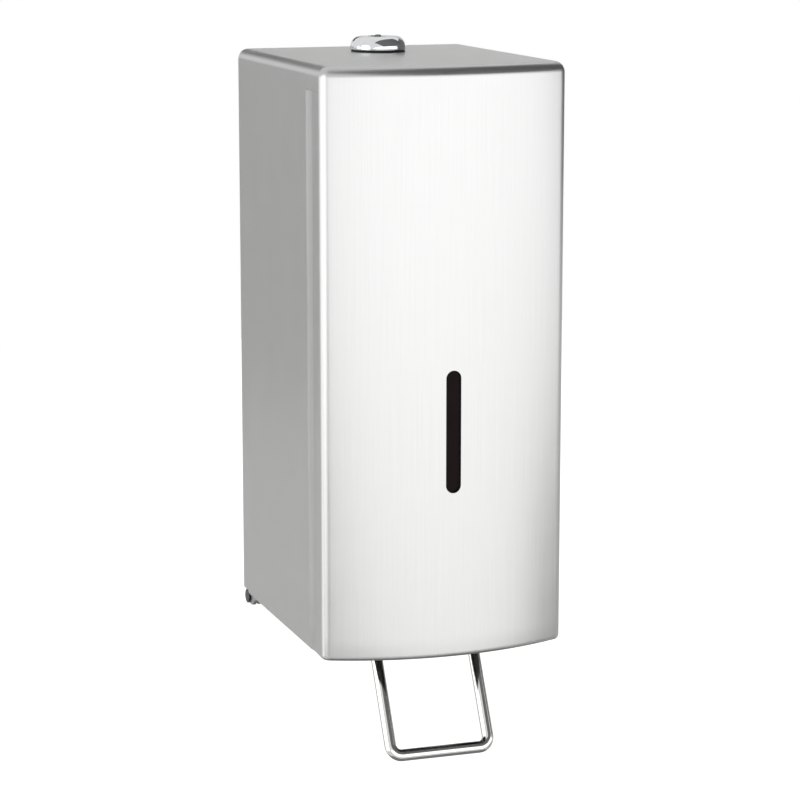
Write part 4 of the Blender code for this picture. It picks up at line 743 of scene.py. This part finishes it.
# %% Tank
TANK_EDGE = 8.0 * MM
TANK_EDGE_STEPS = 8
RIDGE_HALF_WIDTH = 0.35 * MM
RIDGE_LIFT = 0.25 * MM
NECK_RADIUS = 13.6 * MM
TANK_WALL = 2.0 * MM
NECK_BORE = 10.7 * MM
FILLER = Vector((0.0, -55.0 * MM, 0.0))
FILLER_BORE = 20.0 * MM
DRILL_SIDES = 64
NECK_PITCH = 2.5 * MM
NECK_THREAD = 0.5 * MM
NECK_PLAIN = 1.0 * MM
tank_low, tank_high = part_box("tank")
TANK_BOTTOM = -60.0 * MM


def moulded_tank():
    """The tank: a hollow rounded box with a parting ridge, open at the neck and the filler."""
    shape = bmesh.new()
    low = Vector((tank_low.x, tank_low.y, TANK_BOTTOM))
    size, middle = tank_high - low, (tank_high + low) / 2
    place = Matrix.Translation(middle) @ Matrix.Diagonal((*size, 1.0))
    bmesh.ops.create_cube(shape, size=1.0, matrix=place)
    bmesh.ops.bevel(shape, geom=shape.edges[:], offset=TANK_EDGE, segments=TANK_EDGE_STEPS,
                    profile=0.5, affect="EDGES", material=-1)
    for side in (-1, 0, 1):
        bmesh.ops.bisect_plane(shape, geom=shape.verts[:] + shape.edges[:] + shape.faces[:],
                               dist=WELD, plane_co=(side * RIDGE_HALF_WIDTH, 0.0, 0.0),
                               plane_no=(1.0, 0.0, 0.0))
    for vert in shape.verts:
        if abs(vert.co.x) < WELD:
            outward = vert.co - middle
            if abs(outward.y) > size.y / 2 - TANK_EDGE:
                vert.co.y += math.copysign(RIDGE_LIFT, outward.y)
            if abs(outward.z) > size.z / 2 - TANK_EDGE:
                vert.co.z += math.copysign(RIDGE_LIFT, outward.z)
    cutter = bmesh.new()
    for place, radius, height in ((PUMP, NECK_BORE, TANK_BOTTOM),
                                  (FILLER, FILLER_BORE, tank_high.z)):
        bmesh.ops.create_cone(cutter, cap_ends=True, segments=DRILL_SIDES, radius1=radius,
                              radius2=radius, depth=4 * TANK_WALL,
                              matrix=Matrix.Translation(place + Vector((0.0, 0.0, height))))
    return shaped_by_modifiers(loose_object(shape, "parison"), loose_object(cutter, "drill"),
                               TANK_WALL, "MANIFOLD")


def neck_profile():
    """The threaded neck under the tank, with its bore."""
    height = TANK_BOTTOM - NECK_PLAIN
    points = [(NECK_BORE, TANK_BOTTOM + TANK_WALL), (NECK_RADIUS, TANK_BOTTOM + TANK_WALL),
              (NECK_RADIUS, height)]
    while height - NECK_PITCH > tank_low.z:
        points += [(NECK_RADIUS - NECK_THREAD, height - NECK_PITCH / 2),
                   (NECK_RADIUS, height - NECK_PITCH)]
        height -= NECK_PITCH
    return points + [(NECK_RADIUS - NECK_THREAD, tank_low.z), (NECK_BORE, tank_low.z), points[0]]


finish_piece(moulded_tank(), "tank_body", "wall_unit", "natural_polyethylene", ["tank"])
finish_piece(spun(neck_profile(), PUMP), "tank_neck", "wall_unit", "natural_polyethylene", [])

# %% [markdown]
# ## Lid and ring nut
#
# Both are turned by hand, so their skirts have fine upright ribs for grip.  The profile is spun,
# and then every second pair of columns is drawn in a little.

# %% Lid and ring nut
def ribbed(profile, centre, ribs, depth, low, high):
    """A spun shape whose skirt, between two heights, has upright ribs."""
    shape = spun(profile, Vector((0.0, 0.0, 0.0)), steps=4 * ribs)
    outer = max(radius for radius, height in profile)
    for vert in shape.verts:
        radius = math.hypot(vert.co.x, vert.co.y)
        if radius > outer - WELD and low - WELD < vert.co.z < high + WELD:
            column = round(math.atan2(vert.co.y, vert.co.x) / math.tau * 4 * ribs) % 4
            if column < 2:
                vert.co.x *= (radius - depth) / radius
                vert.co.y *= (radius - depth) / radius
    bmesh.ops.translate(shape, vec=centre, verts=shape.verts)
    return shape


lid_low, lid_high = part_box("tank_lid")
LID_RADIUS = (lid_high.x - lid_low.x) / 2
LID_EDGE = 1.1 * MM
LID_WALL = 2.2 * MM
LID_SINK = 0.6 * MM
LID_SINK_RADIUS = LID_RADIUS - 5 * LID_EDGE
LID_TOP_RADIUS = LID_RADIUS - 4.4 * LID_EDGE
LID_RIBS = 60
LID_RIB_DEPTH = 0.4 * MM
lid_profile = [(0.0, lid_high.z - LID_SINK), (LID_SINK_RADIUS, lid_high.z - LID_SINK),
               (LID_TOP_RADIUS, lid_high.z)]
lid_profile += [(LID_RADIUS - LID_EDGE + LID_EDGE * math.sin(math.radians(turn)),
                 lid_high.z - LID_EDGE + LID_EDGE * math.cos(math.radians(turn)))
                for turn in range(0, 91, 18)]
lid_profile += [(LID_RADIUS, lid_high.z - 2 * LID_EDGE), (LID_RADIUS, lid_low.z + LID_EDGE),
                (LID_RADIUS, lid_low.z), (LID_RADIUS - LID_WALL, lid_low.z),
                (LID_RADIUS - LID_WALL, lid_high.z - LID_WALL), (0.0, lid_high.z - LID_WALL)]
finish_piece(ribbed(lid_profile, FILLER, LID_RIBS, LID_RIB_DEPTH, lid_low.z + LID_EDGE,
                    lid_high.z - 2 * LID_EDGE),
             "tank_lid_ribbed", "wall_unit", "white_acetal", ["tank_lid"], sharp=25.0)

nut_low, nut_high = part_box("pump_nut")
NUT_RADIUS = (nut_high.x - nut_low.x) / 2
NUT_EDGE = 0.8 * MM
NUT_WALL = 2.5 * MM
NUT_RIBS = 32
NUT_RIB_DEPTH = 0.7 * MM
STEM_HOLE = 4.1 * MM
nut_profile = [(NUT_RADIUS - NUT_WALL, nut_high.z), (NUT_RADIUS, nut_high.z),
               (NUT_RADIUS, nut_high.z - NUT_EDGE), (NUT_RADIUS, nut_low.z + NUT_EDGE),
               (NUT_RADIUS - NUT_EDGE, nut_low.z), (STEM_HOLE, nut_low.z),
               (STEM_HOLE, nut_low.z + NUT_WALL), (NUT_RADIUS - NUT_WALL, nut_low.z + NUT_WALL),
               (NUT_RADIUS - NUT_WALL, nut_high.z)]
finish_piece(ribbed(nut_profile, PUMP, NUT_RIBS, NUT_RIB_DEPTH, nut_low.z + NUT_EDGE,
                    nut_high.z - NUT_EDGE),
             "pump_nut_ribbed", "wall_unit", slot_of_node["pump_nut"], ["pump_nut"], sharp=25.0)

# %% [markdown]
# ## Screws
#
# The screws have pan heads with a cross recess.  The head is spun, and the cross is cut out by two
# thin tapered blocks, which is how the punch that makes it is shaped.

# %% Screws
CROSS_HALF_WIDTH = 0.45 * MM
CROSS_DEPTH = 1.1 * MM
CROSS_SPAN_SHARE = 0.6
CROSS_TAPER = 0.55
HEAD_HEIGHT = 2.0 * MM
HEAD_EDGE = 0.7 * MM
CROWN_POWER = 0.6
SHANK_SHARE = 0.55
SCREW_THREAD = 0.25 * MM
SCREW_STEPS = 32


def pan_screw(node):
    """A screw along -Y in the place of a CAD screw, with a cross recess in its head."""
    low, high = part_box(node)
    middle = (low + high) / 2
    radius = (high.x - low.x) / 2
    crown = [(radius * math.sin(math.radians(turn)), HEAD_EDGE + (HEAD_HEIGHT - HEAD_EDGE)
              * math.cos(math.radians(turn)) ** CROWN_POWER) for turn in range(0, 90, 10)]
    shank = radius * SHANK_SHARE
    length = high.y - low.y - HEAD_HEIGHT
    profile = crown + [(radius, HEAD_EDGE), (radius, 0.0), (shank, 0.0)]
    drop = THREAD_PITCH
    while drop < length:
        profile += [(shank - SCREW_THREAD, -drop + THREAD_PITCH / 2), (shank, -drop)]
        drop += THREAD_PITCH
    profile += [(shank - SCREW_THREAD, -length), (0.0, -length)]
    shape = spun(profile, Vector((0.0, 0.0, 0.0)), steps=SCREW_STEPS)
    cross = bmesh.new()
    for turn in (0.0, math.pi / 2):
        place = Matrix.Rotation(turn, 4, "Z") @ Matrix.Translation((0.0, 0.0, HEAD_HEIGHT))
        size = Matrix.Diagonal((CROSS_SPAN_SHARE * radius * 2, 2 * CROSS_HALF_WIDTH,
                                2 * CROSS_DEPTH, 1.0))
        blade = bmesh.ops.create_cube(cross, size=1.0, matrix=place @ size)["verts"]
        for vert in blade:
            if vert.co.z < HEAD_HEIGHT:
                vert.co.x *= CROSS_TAPER
                vert.co.y *= CROSS_TAPER
    bmesh.ops.recalc_face_normals(cross, faces=cross.faces)
    shape = shaped_by_modifiers(loose_object(shape, "blank"), loose_object(cross, "punch"),
                                solver="MANIFOLD")
    bmesh.ops.rotate(shape, verts=shape.verts, matrix=Matrix.Rotation(math.pi / 2, 3, "X"))
    bmesh.ops.translate(shape, verts=shape.verts, vec=(middle.x, low.y + HEAD_HEIGHT, middle.z))
    finish_piece(shape, node + "_pan_head", "wall_unit", slot_of_node[node], [node], sharp=30.0)


for node in ("hook_screw_1", "hook_screw_2", "bracket_screw_1", "bracket_screw_2",
             "bracket_screw_3", "bracket_screw_4"):
    pan_screw(node)

# %% [markdown]
# ## Sheet and moulded parts with broken edges
#
# Nothing that is pressed or moulded has a perfectly sharp edge.  These pieces keep their CAD shape
# and get a fine chamfer, so that their edges catch the light.

# %% Broken edges
FLAT_ANGLE = math.radians(0.5)
SHARP_ANGLE = math.radians(40.0)
SHEET_CHAMFER = 0.15 * MM
SOLID_CHAMFER = 0.25 * MM


def broken_edges(node, width):
    """A copy of a CAD piece with whole flat faces and a chamfer on its sharp edges."""
    source = frame["nodes"][node]
    shape = bmesh.new()
    shape.from_mesh(source.data)
    shape.transform(source.matrix_world)
    bmesh.ops.remove_doubles(shape, verts=shape.verts, dist=WELD)
    bmesh.ops.recalc_face_normals(shape, faces=shape.faces)
    bmesh.ops.dissolve_limit(shape, angle_limit=FLAT_ANGLE, verts=shape.verts, edges=shape.edges)
    sharp_edges = [edge for edge in shape.edges if edge.is_manifold
                   and edge.calc_face_angle() > SHARP_ANGLE]
    bmesh.ops.bevel(shape, geom=sharp_edges, offset=width, offset_type="OFFSET", segments=1,
                    profile=0.5, affect="EDGES", material=-1, clamp_overlap=True)
    finish_piece(shape, node + "_edged", body_of_node[node], slot_of_node[node], [node],
                 sharp=25.0)


bodies = frame["record"]["behaviour"]["bodies"]
body_of_node = {node: body for body, nodes in bodies.items() for node in nodes}
SHEET_PARTS = ("back_plate", "pump_bracket", "tank_hook", "strike_bracket", "cover_hinge_left",
               "cover_hinge_right", "window_retainer", "lock_cam", "lock_washer",
               "hinge_washer_left", "hinge_washer_right")
SOLID_PARTS = ("rocker", "lock_nut", "hinge_pin_left", "hinge_pin_right", "strike_rivet_1",
               "strike_rivet_2", "window_stud_1", "window_stud_2", "rocker_axle", "plunger",
               "nozzle_tip")
for node in SHEET_PARTS:
    broken_edges(node, SHEET_CHAMFER)
for node in SOLID_PARTS:
    broken_edges(node, SOLID_CHAMFER)

# %% [markdown]
# ## Studio
#
# The dispenser hangs in front of nothing: the photo has a pure white background with no wall.  So
# the world is white for the camera, and a pale floor lies well below it.  A large soft light
# stands in front and two smaller ones to the left.  Grey cards above, below, behind and to the
# right give the metal something dark to mirror, and so does one behind to the left.  That is how
# a photographer draws the edges of a steel box.

# %% Stage helpers
CARD_ROUGHNESS = 0.9


def card(name, width, height, matrix, shade, shine=0.0, seen=False):
    """A flat card; it can glow for the camera."""
    shape = bmesh.new()
    bmesh.ops.create_grid(shape, x_segments=1, y_segments=1, size=0.5,
                          matrix=matrix @ Matrix.Diagonal((width, height, 1.0, 1.0)))
    mesh = bpy.data.meshes.new(name)
    shape.to_mesh(mesh)
    shape.free()
    board = bpy.data.objects.new(name, mesh)
    bpy.context.scene.collection.objects.link(board)
    board.visible_camera = seen
    material = bpy.data.materials.new(name)
    material.use_nodes = True
    tree = material.node_tree
    shader = tree.nodes["Principled BSDF"]
    shader.inputs["Base Color"].default_value = linear(shade)
    shader.inputs["Roughness"].default_value = CARD_ROUGHNESS
    shader.inputs["Specular IOR Level"].default_value = 0.0
    if shine:
        path = add_node(tree, "ShaderNodeLightPath")
        glow = add_node(tree, "ShaderNodeMath", {"operation": "MULTIPLY"}, {1: shine},
                        {0: path.outputs["Is Camera Ray"]})
        shader.inputs["Emission Color"].default_value = linear("#FFFFFF")
        tree.links.new(glow.outputs[0], shader.inputs["Emission Strength"])
    mesh.materials.append(material)
    board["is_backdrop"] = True


def aimed(place, target):
    """A matrix at a place, turned so that its -Z axis points at a target."""
    turn = (Vector(target) - Vector(place)).to_track_quat("-Z", "Y").to_matrix().to_4x4()
    return Matrix.Translation(place) @ turn


# %% World
WORLD_SEEN = 1.0
WORLD_FILL = 0.8
world = bpy.data.worlds.new("white_studio")
bpy.context.scene.world = world
world.use_nodes = True
tree = world.node_tree
rays = add_node(tree, "ShaderNodeLightPath")
mirrored = add_node(tree, "ShaderNodeMath", {"operation": "MAXIMUM"}, None,
                    {0: rays.outputs["Is Camera Ray"], 1: rays.outputs["Is Glossy Ray"]})
seen = add_node(tree, "ShaderNodeMath", {"operation": "MAXIMUM"}, None,
                {0: mirrored.outputs[0], 1: rays.outputs["Is Transmission Ray"]})
strength = add_node(tree, "ShaderNodeMapRange", None, {"To Min": WORLD_FILL, "To Max": WORLD_SEEN},
                    {"Value": seen.outputs[0]})
tree.nodes["Background"].inputs["Color"].default_value = linear("#FFFFFF")
tree.links.new(strength.outputs[0], tree.nodes["Background"].inputs["Strength"])
bpy.context.scene.view_settings.view_transform = "Standard"

# %% Floor and cards
FLOOR_Z = -0.80
FLOOR_SIDE = 9.0
FLOOR_SHINE = 0.5
card("floor_pale", FLOOR_SIDE, FLOOR_SIDE, Matrix.Translation((0.0, 0.0, FLOOR_Z)), "#F3F3F1",
     shine=FLOOR_SHINE, seen=True)
card("card_below_dark", 0.7, 0.7, Matrix.Translation((0.0, -0.1, -0.55)), "#989898")
# Each other card: width, height, place, the point it faces, and shade.  Lengths are in metres.
CARDS = {
    "card_above_dark": (2.4, 1.7, (0.60, -0.62, 1.05), (0.0, 0.0, 0.0), "#7C7C7C"),
    "card_right_dark": (2.0, 1.3, (1.5, 0.3, 0.50), (0.0, 0.0, 0.3), "#7C7C7C"),
    "card_back_pale": (1.6, 0.9, (0.55, 1.6, 0.6), (0.0, 0.0, 0.1), "#F6F6F6"),
    "card_left_rear_grey": (1.2, 0.5, (-0.56, 1.39, -0.08), (0.0, 0.0, -0.08), "#D8D8D8"),
    "card_behind_dark": (0.7, 0.3, (-0.08, 1.5, 0.62), (0.0, 0.0, 0.1), "#4A4A4A"),
    "card_right_low_dark": (0.5, 0.5, (1.0, -0.48, -0.54), (0.0, 0.0, -0.1), "#C0C0C0"),
}
for name, (width, height, place, target, shade) in CARDS.items():
    card(name, width, height, aimed(place, target), shade)
print("cards:", 2 + len(CARDS))

# %% Softboxes
def softbox(name, place, size, power, target=(0.0, -0.06, 0.0)):
    """A soft area light with an oval face, aimed at the dispenser and not seen by the camera."""
    light = bpy.data.lights.new(name, "AREA")
    light.shape = "ELLIPSE"
    light.size, light.size_y = size
    light.energy = power
    lamp = bpy.data.objects.new(name, light)
    lamp.matrix_world = aimed(place, target)
    lamp.visible_camera = False
    bpy.context.scene.collection.objects.link(lamp)


softbox("softbox_front", (0.38, -1.35, -0.08), (3.9, 1.22), 13.4)
softbox("softbox_left", (-1.3, -0.45, 0.1), (1.1, 1.3), 5.5)
softbox("softbox_left_rear", (-1.30, 0.35, -0.35), (0.5, 1.5), 2.8)

# %% [markdown]
# ## Measure
#
# The dressed model and the CAD model are measured, and the sizes of both boxes are printed.

# %% Size
final_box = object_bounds()
for name, box in (("cad", cad_box), ("final", final_box)):
    print(name, "size, mm:", [round((high - low) / MM, 2) for low, high in zip(*box)])
